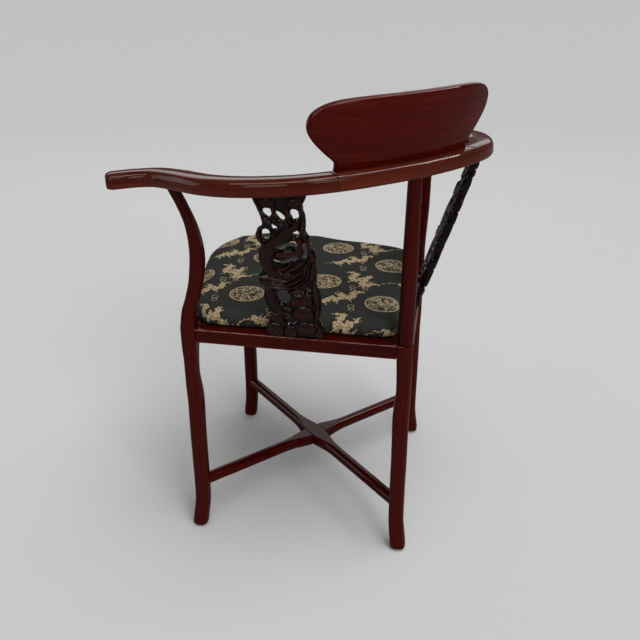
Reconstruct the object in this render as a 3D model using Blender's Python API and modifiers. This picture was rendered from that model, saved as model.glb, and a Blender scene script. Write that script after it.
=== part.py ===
"""A corner armchair: a square seat set corner-first on four legs, with a horseshoe arm rail,
a bowed crest board, two pierced splats, a crossed stretcher and a loose cushion.

Metres, +Z up. The sitter faces -Y, and +X is the sitter's left. The origin is on the floor,
midway between the four feet.
"""
import math

import bmesh
import bpy
from mathutils import Matrix, Vector

# Clearance between touching pieces
FIT = 0.0003

# Seat frame
SEAT_TOP = 0.452
LEG_RADIUS = 0.2738
RAIL_H = 0.026
RAIL_W = 0.026
RAIL_SET_IN = 0.0008
RAIL_EDGE = 0.0018
RAIL_TENON_T = 0.009
RAIL_TENON_RISE = 0.002
TENON_WALL = 0.001
PANEL_T = 0.009
PANEL_LAP = 0.006
PANEL_DROP = 0.0006
BATTEN_W = 0.024
BATTEN_H = 0.012
BATTEN_HOUSING = 0.006
BATTEN_SPACING = 0.150
BLOCK_LEG = 0.045
BLOCK_H = 0.013

# Legs, square in section
HEAD_SIDE = 0.0270
LEG_EDGE = 0.0045
FOOT_FLARE = 0.0115
FOOT_H = 0.125
KNEE_H = 0.210
KNEE_BOW = 0.0018
# Shares of the foot's height, of the flare and of the head's side
FOOT_RATIOS = ((0.000, 1.00, 0.830), (0.016, 0.97, 0.980), (0.064, 0.92, 1.045), (0.208, 0.66, 1.045),
               (0.360, 0.36, 1.030), (0.560, 0.16, 1.010), (1.000, 0.08, 1.010))
# Shares of the knee's height below the seat rails, of its bow and of the head's side
KNEE_RATIOS = ((1.000, 0.28, 1.010), (0.648, -0.56, 1.025), (0.500, 0.00, 1.010), (0.333, 1.00, 0.900),
               (0.133, 0.56, 0.945))

# Foot glides
GLIDE_H = 0.004
GLIDE_R = 0.009
GLIDE_FLAT_R = 0.006
GLIDE_EDGE = 0.0015
GLIDE_NAIL_R = 0.0015
GLIDE_NAIL_L = 0.014

# Arm rail: it rises towards the back
ARM_W = 0.0455
ARM_T = 0.026
ARM_TOP_EDGE = 0.009
ARM_LOW_EDGE = 0.004
ARM_BACK_UNDER = 0.743
ARM_TILT = math.radians(6.3)
ARM_SEAM_X = 0.136
ARM_TIP_ROUND = 0.012
ARM_TIP_SCALE = 0.62
# Centre line of the rail's left half, in the rail's own plane, from the back to the hand rest, in shares of
# the distance from the chair's middle to a leg
ARM_LINE_RATIOS = ((0.0000, 0.9843), (0.3652, 0.9386), (0.6574, 0.8382), (0.8711, 0.6465), (0.9898, 0.4127),
                   (1.0336, 0.1096), (1.0847, -0.0840), (1.2016, -0.1863), (1.3495, -0.2392))
ARM_DOWEL_R = 0.004
ARM_DOWEL_L = 0.036
ARM_DOWEL_SPACING = 0.022

# Side posts: an S-curve in the plane of the rear seat rail
POST_SWEEP = 0.0275
POST_LEAN = 0.0102
POST_TOP_EDGE = 0.0050
POST_TENON_R = 0.006
POST_TENON_L = 0.012
# Share of the post's height, share of its sweep
POST_CURVE_RATIOS = ((0.00, 0.00), (0.12, 0.10), (0.24, 0.48), (0.38, 0.83), (0.55, 1.00), (0.72, 0.84),
                     (0.86, 0.40), (1.00, -0.21))
# Share of the post's height, share of the leg's head side
POST_SIDE_RATIOS = ((0.00, 1.000), (0.12, 0.895), (0.30, 0.885), (0.48, 0.890), (0.65, 0.775),
                    (0.82, 0.640), (1.00, 0.622))

# Back post, turned
BACK_POST_R = 0.0136
# Share of the post's height, share of its radius
BACK_POST_RATIOS = ((0.95, 0.840), (0.75, 0.895), (0.50, 0.955), (0.10, 1.000))
BACK_POST_SPIGOT_R = 0.007
BACK_POST_SPIGOT_L = 0.010

# Crest board: bowed, leaning back, standing on the arm rail
CREST_T = 0.014
CREST_EDGE = 0.0045
CREST_BOW_R = 0.440
CREST_SET_IN = 0.0010
CREST_LEAN = math.radians(10.8)
# Half outline: distance round the bow from the middle, height above the rail's top
CREST_OUTLINE = ((0.1360, -0.0200), (0.1360, 0.0020), (0.1395, 0.0080), (0.1480, 0.0150), (0.1600, 0.0250),
                 (0.1735, 0.0380), (0.1825, 0.0510), (0.1845, 0.0635), (0.1810, 0.0755), (0.1710, 0.0855),
                 (0.1535, 0.0940), (0.1275, 0.1000), (0.0800, 0.1045), (0.0300, 0.1063))
CREST_DOWEL_R = 0.0035
CREST_DOWEL_L = 0.034
CREST_DOWEL_SPACING = 0.160

# Crossed stretcher
STRETCHER_Z = 0.1050
STRETCHER_END_R = 0.0118
STRETCHER_SOCKET = 0.012
STRETCHER_BLOCK_W = 0.032
STRETCHER_BLOCK_H = 0.0235
STRETCHER_BLOCK_L = 0.040
STRETCHER_TONGUE_L = 0.058
STRETCHER_BLOCK_EDGE = 0.002
# Share of the tongue's length, share of the way from the round to the block
STRETCHER_TONGUE_RATIOS = ((0.0, 0.0), (0.2, 0.12), (0.45, 0.42), (0.75, 0.80), (1.0, 1.0))

# Splats
SPLAT_T = 0.018
SPLAT_SET_OUT = 0.0047
SPLAT_TENON_T = 0.007
SPLAT_TENON_W = 0.050
SPLAT_TENON_L = 0.009
SPLAT_SPARE = 0.020
SPLAT_DRAWN_L = 0.298
# Place of the head under the arm rail, in shares of the distance from the chair's middle to a leg
SPLAT_HEAD_RATIO = 1.0588
# Outline and openings in the splat's own plane: across, up from the seat rail
SPLAT_LEFT_EDGE = ((-0.050, 0.000), (-0.048, 0.018), (-0.040, 0.037), (-0.035, 0.052), (-0.041, 0.075),
                   (-0.044, 0.096), (-0.040, 0.114), (-0.048, 0.123), (-0.049, 0.136), (-0.040, 0.154),
                   (-0.044, 0.173), (-0.043, 0.189), (-0.037, 0.206), (-0.043, 0.216), (-0.042, 0.228),
                   (-0.032, 0.240), (-0.031, 0.250), (-0.036, 0.272), (-0.040, 0.291))
SPLAT_RIGHT_EDGE = ((0.041, 0.297), (0.034, 0.279), (0.037, 0.260), (0.0365, 0.239), (0.035, 0.230),
                    (0.041, 0.216), (0.043, 0.200), (0.049, 0.185), (0.047, 0.168), (0.048, 0.147),
                    (0.046, 0.120), (0.052, 0.100), (0.0515, 0.075), (0.049, 0.054), (0.044, 0.043),
                    (0.052, 0.027), (0.055, 0.013), (0.051, 0.000))
SPLAT_OPENINGS = (
    ((-0.027, 0.271), (-0.015, 0.272), (-0.015, 0.262), (-0.022, 0.254)),
    ((-0.006, 0.269), (0.000, 0.267), (0.006, 0.255), (0.000, 0.250)),
    ((0.017, 0.273), (0.025, 0.273), (0.027, 0.258), (0.021, 0.252)),
    ((-0.014, 0.245), (-0.008, 0.242), (-0.012, 0.230)),
    ((-0.026, 0.235), (-0.020, 0.224), (-0.030, 0.211), (-0.034, 0.220)),
    ((0.021, 0.234), (0.026, 0.228), (0.017, 0.220)),
    ((-0.017, 0.196), (0.000, 0.207), (0.020, 0.212), (0.020, 0.201), (0.006, 0.199)),
    ((-0.023, 0.174), (-0.010, 0.172), (0.021, 0.182), (0.003, 0.168), (-0.017, 0.165)),
    ((0.032, 0.210), (0.036, 0.200), (0.034, 0.183), (0.026, 0.176), (0.030, 0.191)),
    ((-0.016, 0.109), (-0.005, 0.110), (-0.004, 0.079), (-0.017, 0.077)),
    ((0.029, 0.118), (0.037, 0.113), (0.032, 0.105)),
    ((-0.012, 0.047), (0.000, 0.046), (0.008, 0.031), (-0.009, 0.030)),
)

# Cushion
CUSHION_H = 0.032
# Left half of the widest line, from the back corner round the post to the front corner, in shares of the
# distance from the chair's middle to a leg
CUSHION_LINE_RATIOS = ((0.000, 0.906), (0.095, 0.851), (0.365, 0.590), (0.694, 0.261), (0.868, 0.086),
                       (0.908, -0.030), (0.845, -0.190), (0.640, -0.510), (0.440, -0.812), (0.245, -0.985),
                       (0.000, -1.062))
# Share of the height, and the distance in from the widest line in shares of the height
CUSHION_EDGE_RATIOS = ((0.00, 1.200), (0.00, 0.220), (0.25, -0.050), (0.55, -0.050), (0.85, 0.150),
                       (0.98, 0.800), (1.06, 2.600), (1.10, 4.500))

# Fineness of round and curved work
CORNER_POINTS = 4
POST_STEPS = 12
LINE_STEPS = 8
ARM_STEPS = 18
ARM_BACK_STEPS = 12
ARM_TIP_STEPS = 4
CREST_STEPS = 14
CUSHION_STEPS = 2
TURN_STEPS = 24
OUTLINE_STEPS = 3

CHAIR = "corner_armchair"
CUTTERS = "corner_armchair_cutters"

ROSEWOOD = ("rosewood", (0.075, 0.011, 0.008), 0.22)
CREST_WOOD = ("crest_rosewood", (0.090, 0.009, 0.005), 0.20)
CARVING = ("carved_rosewood", (0.030, 0.008, 0.007), 0.28)
DOWEL_WOOD = ("dowel_beech", (0.480, 0.310, 0.170), 0.60)
BOARD = ("seat_board", (0.190, 0.110, 0.060), 0.65)
GLIDE = ("glide_nylon", (0.700, 0.690, 0.650), 0.45)
BROCADE = ("black_brocade", (0.020, 0.021, 0.023), 0.55)

UP = Vector((0, 0, 1))
SEAT_TURN = Matrix.Rotation(math.radians(45), 4, "Z")
SEAT_P = SEAT_TURN.to_3x3() @ Vector((1, 0, 0))
SEAT_Q = SEAT_TURN.to_3x3() @ Vector((0, 1, 0))
CORNERS = {"front": Vector((0, -1, 0)), "left": Vector((1, 0, 0)),
           "back": Vector((0, 1, 0)), "right": Vector((-1, 0, 0))}
SIDES = {"left": 1, "right": -1}

# Places worked out from the driving dimensions
LEG_PERP = LEG_RADIUS / math.sqrt(2)
LEG_INNER = LEG_PERP - HEAD_SIDE / 2
RAIL_OUTER = LEG_PERP + HEAD_SIDE / 2 - RAIL_SET_IN
RAIL_INNER = RAIL_OUTER - RAIL_W
RAIL_MIDDLE = (RAIL_OUTER + RAIL_INNER) / 2
RAIL_UNDER = SEAT_TOP - RAIL_H
RAIL_TENON_L = HEAD_SIDE / 2 - RAIL_TENON_T / 2 - TENON_WALL
RAIL_TENON_LOW = RAIL_UNDER + RAIL_TENON_RISE
RAIL_TENON_HIGH = SEAT_TOP - BACK_POST_SPIGOT_L - TENON_WALL - 2 * FIT
PANEL_UNDER = SEAT_TOP - PANEL_DROP - PANEL_T
ARM_BACK_Y = LEG_RADIUS * ARM_LINE_RATIOS[0][1]
CREST_REAR_Y = ARM_BACK_Y - CREST_SET_IN
ARM_PLACE = (Matrix.Translation((0, ARM_BACK_Y, ARM_BACK_UNDER)) @ Matrix.Rotation(ARM_TILT, 4, "X")
             @ Matrix.Translation((0, -ARM_BACK_Y, 0)))
BIG = 2.0


# Scene, objects and materials

def clear_scene():
    """Remove whatever the file holds and make the two collections."""
    for item in list(bpy.data.objects):
        bpy.data.objects.remove(item, do_unlink=True)
    for name in (CHAIR, CUTTERS):
        collection = bpy.data.collections.new(name)
        bpy.context.scene.collection.children.link(collection)


def finish(spec):
    """The Principled material of a (name, colour, roughness) triple, made once."""
    name, colour, roughness = spec
    material = bpy.data.materials.get(name)
    if material is None:
        material = bpy.data.materials.new(name)
        material.use_nodes = True
        shader = material.node_tree.nodes["Principled BSDF"]
        shader.inputs["Base Color"].default_value = (*colour, 1.0)
        shader.inputs["Roughness"].default_value = roughness
    return material


def make_object(name, bm, collection, spec=None, place=Matrix()):
    """Turn a bmesh into an object; a mirroring placement keeps the faces pointing out."""
    bm.transform(place)
    if place.determinant() < 0:
        bmesh.ops.reverse_faces(bm, faces=bm.faces)
    mesh = bpy.data.meshes.new(name)
    bm.to_mesh(mesh)
    bm.free()
    mesh.shade_smooth()
    mesh.set_sharp_from_angle(angle=math.radians(35))
    item = bpy.data.objects.new(name, mesh)
    bpy.data.collections[collection].objects.link(item)
    if spec is not None:
        mesh.materials.append(finish(spec))
    return item


def piece(name, bm, spec, place=Matrix()):
    """A part of the chair."""
    return make_object(name, bm, CHAIR, spec, place)


def combine(target, bm, operation, place):
    """Cut a helper solid from a part or join it on, with an exact Boolean."""
    name = f"{target.name}_{operation.lower()}_{len(target.modifiers) + 1}"
    helper = make_object(name, bm, CUTTERS, None, place)
    helper.hide_render = True
    helper.display_type = "WIRE"
    modifier = target.modifiers.new(name, "BOOLEAN")
    modifier.operation = operation
    modifier.object = helper
    modifier.solver = "EXACT"


def cut(target, bm, place=Matrix()):
    """Take a solid away from a part."""
    combine(target, bm, "DIFFERENCE", place)


def add(target, bm, place=Matrix()):
    """Join a solid to a part."""
    combine(target, bm, "UNION", place)


def mirror(side):
    """The identity for the left side, the mirror in X for the right."""
    return Matrix.Diagonal((side, 1, 1, 1))


# Shapes

def box(low, high):
    """A box between two corners."""
    bm = bmesh.new()
    bmesh.ops.create_cube(bm, size=1.0)
    low, high = Vector(low), Vector(high)
    bm.transform(Matrix.Translation((low + high) / 2) @ Matrix.Diagonal((*(high - low), 1)))
    return bm


def rod(radius, low, high):
    """A cylinder about Z between two heights."""
    bm = bmesh.new()
    bmesh.ops.create_cone(bm, cap_ends=True, segments=TURN_STEPS, radius1=radius, radius2=radius,
                          depth=high - low)
    bmesh.ops.translate(bm, verts=bm.verts, vec=(0, 0, (low + high) / 2))
    return bm


def prism(outline, low, high):
    """A flat polygon raised between two heights."""
    bm = bmesh.new()
    base = bm.faces.new([bm.verts.new((x, y, low)) for x, y in outline])
    raised = bmesh.ops.extrude_face_region(bm, geom=[base], use_keep_orig=True)
    lifted = [item for item in raised["geom"] if isinstance(item, bmesh.types.BMVert)]
    bmesh.ops.translate(bm, verts=lifted, vec=(0, 0, high - low))
    bmesh.ops.recalc_face_normals(bm, faces=bm.faces)
    return bm


def rounded_section(width, depth, top_radius, low_radius=None):
    """Points of a rounded rectangle, anticlockwise, with its flats at the full size."""
    radii = (top_radius, top_radius, low_radius or top_radius, low_radius or top_radius)
    step = math.radians(90) / CORNER_POINTS
    points = []
    for quarter, radius in enumerate(radii):
        across = 1 if quarter in (0, 3) else -1
        upward = 1 if quarter in (0, 1) else -1
        reach = radius / math.cos(step / 2)
        for index in range(CORNER_POINTS):
            angle = math.radians(90) * quarter + step * (index + 0.5)
            points.append((across * (width / 2 - radius) + reach * math.cos(angle),
                           upward * (depth / 2 - radius) + reach * math.sin(angle)))
    return points


def ring(centre, section, across, along):
    """Place a section's points about a centre, on two directions."""
    return [centre + across * x + along * y for x, y in section]


def loft(rings):
    """A closed solid through rings of equal count."""
    bm = bmesh.new()
    loops = [[bm.verts.new(point) for point in points] for points in rings]
    for low, high in zip(loops, loops[1:]):
        for index in range(len(low)):
            after = (index + 1) % len(low)
            bm.faces.new((low[index], low[after], high[after], high[index]))
    bm.faces.new(loops[0])
    bm.faces.new(loops[-1])
    bmesh.ops.recalc_face_normals(bm, faces=bm.faces)
    return bm


def turned(name, profile, spec, place):
    """A part turned about Z from a profile of radii and heights that starts and ends on the axis."""
    mesh = bpy.data.meshes.new(name)
    points = [(radius, 0, height) for radius, height in profile]
    mesh.from_pydata(points, [(index, index + 1) for index in range(len(points) - 1)], [])
    mesh.materials.append(finish(spec))
    item = bpy.data.objects.new(name, mesh)
    item.matrix_world = place
    bpy.data.collections[CHAIR].objects.link(item)
    screw = item.modifiers.new("turn", "SCREW")
    screw.steps = TURN_STEPS
    screw.render_steps = TURN_STEPS
    screw.use_merge_vertices = True
    screw.merge_threshold = 0.00001
    screw.use_normal_calculate = True
    screw.use_smooth_shade = True
    return item


def curve_solid(curve):
    """The closed solid of a curve's evaluated shape; the curve itself is removed."""
    item = bpy.data.objects.new(curve.name, curve)
    bpy.data.collections[CUTTERS].objects.link(item)
    bpy.context.view_layer.update()
    mesh = bpy.data.meshes.new_from_object(item.evaluated_get(bpy.context.evaluated_depsgraph_get()))
    bm = bmesh.new()
    bm.from_mesh(mesh)
    bmesh.ops.remove_doubles(bm, verts=bm.verts, dist=0.00001)
    bmesh.ops.recalc_face_normals(bm, faces=bm.faces)
    bpy.data.objects.remove(item, do_unlink=True)
    bpy.data.meshes.remove(mesh)
    return bm


def plate(name, outlines, thickness):
    """A flat plate about the XY plane; the first smooth outline is its edge, the others its openings."""
    curve = bpy.data.curves.new(name, "CURVE")
    curve.dimensions = "2D"
    curve.fill_mode = "BOTH"
    curve.extrude = thickness / 2
    curve.resolution_u = OUTLINE_STEPS
    curve.render_resolution_u = OUTLINE_STEPS
    for points in outlines:
        spline = curve.splines.new("BEZIER")
        spline.use_cyclic_u = True
        spline.bezier_points.add(len(points) - 1)
        for knot, (x, y) in zip(spline.bezier_points, points):
            knot.co = (x, y, 0)
            knot.handle_left_type = "AUTO"
            knot.handle_right_type = "AUTO"
    return curve_solid(curve)


def swept(name, section, path, scales):
    """A section swept along a level path, kept upright, with flat filled ends."""
    profile = bpy.data.curves.new(name + "_section", "CURVE")
    profile.dimensions = "2D"
    outline = profile.splines.new("POLY")
    outline.use_cyclic_u = True
    outline.points.add(len(section) - 1)
    for knot, (x, y) in zip(outline.points, section):
        knot.co = (x, y, 0, 1)
    profile_item = bpy.data.objects.new(profile.name, profile)
    bpy.data.collections[CUTTERS].objects.link(profile_item)
    curve = bpy.data.curves.new(name, "CURVE")
    curve.dimensions = "3D"
    curve.twist_mode = "Z_UP"
    curve.bevel_mode = "OBJECT"
    curve.bevel_object = profile_item
    curve.use_fill_caps = True
    spline = curve.splines.new("POLY")
    spline.points.add(len(path) - 1)
    for knot, point, scale in zip(spline.points, path, scales):
        knot.co = (*point, 1)
        knot.radius = scale
    bm = curve_solid(curve)
    bpy.data.objects.remove(profile_item, do_unlink=True)
    return bm


class Line:
    """A smooth line through knots, read by length along it or by its first coordinate."""

    def __init__(self, knots):
        knots = [Vector(knot) for knot in knots]
        ends = [knots[0] * 2 - knots[1], *knots, knots[-1] * 2 - knots[-2]]
        self.points = []
        for a, b, c, d in zip(ends, ends[1:], ends[2:], ends[3:]):
            for index in range(LINE_STEPS):
                t = index / LINE_STEPS
                square = 2 * a - 5 * b + 4 * c - d
                cube = 3 * b - a - 3 * c + d
                self.points.append(0.5 * (2 * b + (c - a) * t + square * t ** 2 + cube * t ** 3))
        self.points.append(knots[-1])
        self.lengths = [0.0]
        for before, after in zip(self.points, self.points[1:]):
            self.lengths.append(self.lengths[-1] + (after - before).length)

    def at(self, value, scale):
        """The point where a rising scale, one number per point, reaches a value."""
        for index in range(len(scale) - 2):
            if value <= scale[index + 1]:
                break
        else:
            index = len(scale) - 2
        share = (value - scale[index]) / (scale[index + 1] - scale[index])
        return self.points[index].lerp(self.points[index + 1], share)

    def at_length(self, length):
        """The point at a length along the line."""
        return self.at(length, self.lengths)

    def at_first(self, value):
        """The point whose first coordinate has a value."""
        return self.at(value, [point[0] for point in self.points])

    def length_at_first(self, value):
        """The length along the line where the first coordinate has a value."""
        target = self.at_first(value)
        for point, length in zip(reversed(self.points), reversed(self.lengths)):
            if point[0] <= target[0]:
                return length + (target - point).length
        return 0.0


def arm_under(y):
    """Height of the arm rail's underside at a depth."""
    return ARM_BACK_UNDER + (y - ARM_BACK_Y) * math.tan(ARM_TILT)


def on_arm(points, rise):
    """Points moved up or down onto a plane above the arm rail's underside."""
    return [Vector((x, y, arm_under(y) + rise)) for x, y, z in points]


def above_arm_under(drop):
    """A large solid above the arm rail's underside, less a clearance."""
    bm = box((-BIG, -BIG, -drop), (BIG, BIG, BIG))
    bm.transform(ARM_PLACE)
    return bm


def arm_tenon(centre, radius, low, high):
    """Rings of a round upright tenon between two heights above the arm rail's underside."""
    circle = ring(centre, rounded_section(2 * radius, 2 * radius, radius), SEAT_P, SEAT_Q)
    return [on_arm(circle, low), on_arm(circle, high)]


# Legs and posts

def leg_stations():
    """Height, outward shift and side of the leg's section, from the foot to the seat's top."""
    stations = [(GLIDE_H + FOOT_H * rise, FOOT_FLARE * flare, HEAD_SIDE * side)
                for rise, flare, side in FOOT_RATIOS]
    stations += [(RAIL_UNDER - KNEE_H * depth, KNEE_BOW * bow, HEAD_SIDE * side)
                 for depth, bow, side in KNEE_RATIOS]
    return stations + [(RAIL_UNDER, 0.0, HEAD_SIDE), (SEAT_TOP, 0.0, HEAD_SIDE)]


def leg_at(height):
    """Outward shift and side of a leg at a height."""
    stations = leg_stations()
    for low, high in zip(stations, stations[1:]):
        if low[0] <= height <= high[0]:
            share = (height - low[0]) / (high[0] - low[0])
            return low[1] + (high[1] - low[1]) * share, low[2] + (high[2] - low[2]) * share
    return stations[-1][1:]


def leg_rings(corner):
    """Rings of a leg from its foot to the seat's top."""
    rings = []
    for height, shift, side in leg_stations():
        centre = CORNERS[corner] * (LEG_RADIUS + shift) + UP * height
        rings.append(ring(centre, rounded_section(side, side, LEG_EDGE), SEAT_P, SEAT_Q))
    return rings


def post_centre(share):
    """Middle of the left post's section at a share of its height."""
    sweep = Line(POST_CURVE_RATIOS).at_first(share)[1] * POST_SWEEP
    centre = CORNERS["left"] * LEG_RADIUS + SEAT_Q * sweep + SEAT_P * (share * POST_LEAN)
    return centre + UP * (SEAT_TOP + share * (arm_under(0) - SEAT_TOP))


def side_post_rings():
    """Rings of the left post: the S-curve, its shoulder under the arm rail and its tenon."""
    rings = []
    for index in range(1, POST_STEPS + 1):
        share = index / POST_STEPS
        side = Line(POST_SIDE_RATIOS).at_first(share)[1] * HEAD_SIDE
        edge = LEG_EDGE + (POST_TOP_EDGE - LEG_EDGE) * share
        rings.append(ring(post_centre(share), rounded_section(side, side, edge), SEAT_P, SEAT_Q))
    rings[-1] = on_arm(rings[-1], -FIT)
    return rings + arm_tenon(post_centre(1.0), POST_TENON_R, -FIT, POST_TENON_L)


def side_post_bore(side):
    """The hole in an arm for its post's tenon."""
    bm = loft(arm_tenon(post_centre(1.0), POST_TENON_R + FIT, -ARM_T, POST_TENON_L + FIT))
    return bm, mirror(side)


def foot_place(corner):
    """The middle of a leg's foot, on the floor."""
    return Matrix.Translation(CORNERS[corner] * (LEG_RADIUS + FOOT_FLARE))


def seat_quarter(turns):
    """The seat frame turned by quarters: the first side is the rear left one."""
    return SEAT_TURN @ Matrix.Rotation(math.radians(90) * turns, 4, "Z")


def rail_tenons(grow):
    """The bar inside a seat rail whose two ends are its tenons."""
    reach = LEG_INNER + RAIL_TENON_L + grow
    half = RAIL_TENON_T / 2 + grow
    low = (RAIL_MIDDLE - half, -reach, RAIL_TENON_LOW - grow)
    return box(low, (RAIL_MIDDLE + half, reach, RAIL_TENON_HIGH + grow))


def stretcher_reach():
    """Half the length of a stretcher, to the bottom of its socket."""
    shift, side = leg_at(STRETCHER_Z)
    inner_corner = LEG_RADIUS + shift - side / math.sqrt(2) + LEG_EDGE * (math.sqrt(2) - 1)
    return inner_corner + STRETCHER_SOCKET


def stretcher_ring(distance, width, depth, radius):
    """A ring of the side-to-side stretcher at a distance from its middle."""
    centre = Vector((distance, 0, STRETCHER_Z))
    return ring(centre, rounded_section(width, depth, radius), Vector((0, 1, 0)), UP)


def stretcher_bore(corner):
    """The socket in a leg for a stretcher's end."""
    across = 2 * (STRETCHER_END_R + FIT)
    start = STRETCHER_BLOCK_L / 2 + STRETCHER_TONGUE_L
    ends = [stretcher_ring(distance, across, across, across / 2)
            for distance in (start, stretcher_reach() + FIT)]
    angle = math.atan2(CORNERS[corner].y, CORNERS[corner].x)
    return loft(ends), Matrix.Rotation(angle, 4, "Z")


def make_leg(corner):
    """One leg, with its post where it has one, and its joints cut."""
    if corner in SIDES:
        bm = loft(leg_rings("left") + side_post_rings())
        leg = piece(f"{corner}_leg", bm, ROSEWOOD, mirror(SIDES[corner]))
    else:
        leg = piece(f"{corner}_leg", loft(leg_rings(corner)), ROSEWOOD)
    first = {"left": 3, "back": 0, "right": 1, "front": 2}[corner]
    for turns in (first, first + 1):
        cut(leg, rail_tenons(FIT), seat_quarter(turns))
    cut(leg, *stretcher_bore(corner))
    cut(leg, rod(GLIDE_NAIL_R + FIT, 0, GLIDE_H + GLIDE_NAIL_L + FIT), foot_place(corner))
    return leg


def make_back_post():
    """The turned post on the back leg, and its socket in the leg."""
    foot = CORNERS["back"] * LEG_RADIUS
    place = Matrix.Translation(foot + UP * SEAT_TOP)
    height = arm_under(foot.y) - SEAT_TOP
    top_radius = BACK_POST_R * BACK_POST_RATIOS[0][1]
    low_radius = BACK_POST_R * BACK_POST_RATIOS[-1][1]
    spare = height + top_radius
    profile = [(0, spare), (top_radius, spare)]
    profile += [(BACK_POST_R * across, height * share) for share, across in BACK_POST_RATIOS]
    profile += [(low_radius, FIT), (BACK_POST_SPIGOT_R, FIT), (BACK_POST_SPIGOT_R, -BACK_POST_SPIGOT_L),
                (0, -BACK_POST_SPIGOT_L)]
    post = turned("back_post", profile, ROSEWOOD, place)
    cut(post, above_arm_under(FIT))
    add(post, loft(arm_tenon(foot, POST_TENON_R, -POST_TENON_L, POST_TENON_L)))
    leg = bpy.data.objects["back_leg"]
    cut(leg, rod(BACK_POST_SPIGOT_R + FIT, -BACK_POST_SPIGOT_L - FIT, BACK_POST_SPIGOT_L), place)


def make_glides():
    """Nail-on glides under the feet."""
    under_leg = GLIDE_H - FIT
    profile = ((0, GLIDE_H + GLIDE_NAIL_L), (GLIDE_NAIL_R, GLIDE_H + GLIDE_NAIL_L), (GLIDE_NAIL_R, under_leg),
               (GLIDE_R, under_leg), (GLIDE_R, GLIDE_EDGE), (GLIDE_FLAT_R, 0), (0, 0))
    for corner in CORNERS:
        turned(f"foot_glide_{corner}", profile, GLIDE, foot_place(corner))


# Seat

def make_seat_rails():
    """Four rails tenoned into the legs, rebated for the seat panel."""
    rails = {"rear_left": 0, "rear_right": 1, "front_right": 2, "front_left": 3}
    reach = LEG_INNER - FIT
    for name, turns in rails.items():
        place = seat_quarter(turns)
        bm = box((RAIL_INNER, -reach, RAIL_UNDER), (RAIL_OUTER, reach, SEAT_TOP))
        long_edges = [edge for edge in bm.edges if abs(edge.verts[0].co.y - edge.verts[1].co.y) > reach]
        bmesh.ops.bevel(bm, geom=long_edges, offset=RAIL_EDGE, segments=2, profile=0.5, affect="EDGES")
        rail = piece(f"seat_rail_{name}", bm, ROSEWOOD, place)
        add(rail, rail_tenons(0), place)
        edge = RAIL_INNER + PANEL_LAP
        cut(rail, box((0, -reach - FIT, PANEL_UNDER - FIT), (edge, reach + FIT, SEAT_TOP + PANEL_T)), place)
        if turns % 2:
            for batten in (-1, 1):
                cut(rail, seat_batten(batten, FIT), SEAT_TURN)
        if name.startswith("rear"):
            side = SIDES[name.removeprefix("rear_")]
            cut(rail, splat_tenon(-SPLAT_TENON_L, FIT), mirror(side) @ splat_place())


def seat_batten(side, grow):
    """A batten under the panel, on one side of the seat's middle."""
    middle = side * BATTEN_SPACING / 2
    half = BATTEN_W / 2 + grow
    reach = RAIL_INNER + BATTEN_HOUSING + grow
    high = PANEL_UNDER - FIT
    return box((middle - half, -reach, high - BATTEN_H - grow), (middle + half, reach, high + grow))


def make_seat_panel():
    """The panel, notched round the legs, with its battens and corner blocks below."""
    half = RAIL_INNER + PANEL_LAP - FIT
    notch = LEG_INNER - FIT
    quarter = [Vector((half, notch)), Vector((notch, notch)), Vector((notch, half))]
    outline = []
    for turns in range(4):
        turn = Matrix.Rotation(math.radians(90) * turns, 2)
        outline += [turn @ point for point in quarter]
    piece("seat_panel", prism(outline, PANEL_UNDER, PANEL_UNDER + PANEL_T), BOARD, SEAT_TURN)
    for number, side in enumerate((-1, 1), start=1):
        piece(f"seat_batten_{number}", seat_batten(side, 0), BOARD, SEAT_TURN)
    inner = RAIL_INNER - FIT
    tail = notch - BLOCK_LEG
    block = ((notch, notch), (inner, notch), (inner, tail), (tail, inner), (notch, inner))
    high = PANEL_UNDER - FIT
    for corner, turns in (("back", 0), ("right", 1), ("front", 2), ("left", 3)):
        piece(f"corner_block_{corner}", prism(block, high - BLOCK_H, high), BOARD, seat_quarter(turns))


# Stretcher

def stretcher_rings():
    """Rings of the side-to-side stretcher: round ends, tongues and the square middle."""
    round_end = (2 * STRETCHER_END_R, 2 * STRETCHER_END_R, STRETCHER_END_R)
    block = (STRETCHER_BLOCK_W, STRETCHER_BLOCK_H, STRETCHER_BLOCK_EDGE)
    half = [(stretcher_reach(), round_end)]
    for along, share in STRETCHER_TONGUE_RATIOS:
        distance = STRETCHER_BLOCK_L / 2 + STRETCHER_TONGUE_L * (1 - along)
        half.append((distance, tuple(a + (b - a) * share for a, b in zip(round_end, block))))
    stations = half + [(-distance, sizes) for distance, sizes in reversed(half)]
    return [stretcher_ring(distance, *sizes) for distance, sizes in stations]


def make_stretchers():
    """Two stretchers halved over each other in the middle."""
    names = {"stretcher_side": (0, 1), "stretcher_front_back": (1, -1)}
    half = STRETCHER_BLOCK_W / 2 + FIT
    long = STRETCHER_BLOCK_L / 2 + STRETCHER_TONGUE_L
    for name, (turns, notch_side) in names.items():
        place = Matrix.Rotation(math.radians(90) * turns, 4, "Z")
        bar = piece(name, loft(stretcher_rings()), ROSEWOOD, place)
        edge = STRETCHER_Z - notch_side * FIT / 2
        low, high = sorted((edge, STRETCHER_Z + notch_side * STRETCHER_BLOCK_H))
        cut(bar, box((-half, -long, low), (half, long, high)), place)


# Arm rail

def arm_line():
    """Centre line of the arm rail's left half, in the rail's plane."""
    return Line([(LEG_RADIUS * x, LEG_RADIUS * y) for x, y in ARM_LINE_RATIOS])


def arm_seam():
    """Point on the centre line where the side and back lengths meet, and the line's direction there."""
    line = arm_line()
    length = line.length_at_first(ARM_SEAM_X)
    ahead = line.at_length(length + ARM_DOWEL_R)
    behind = line.at_length(length - ARM_DOWEL_R)
    return line.at_length(length), (ahead - behind).normalized()


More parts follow.
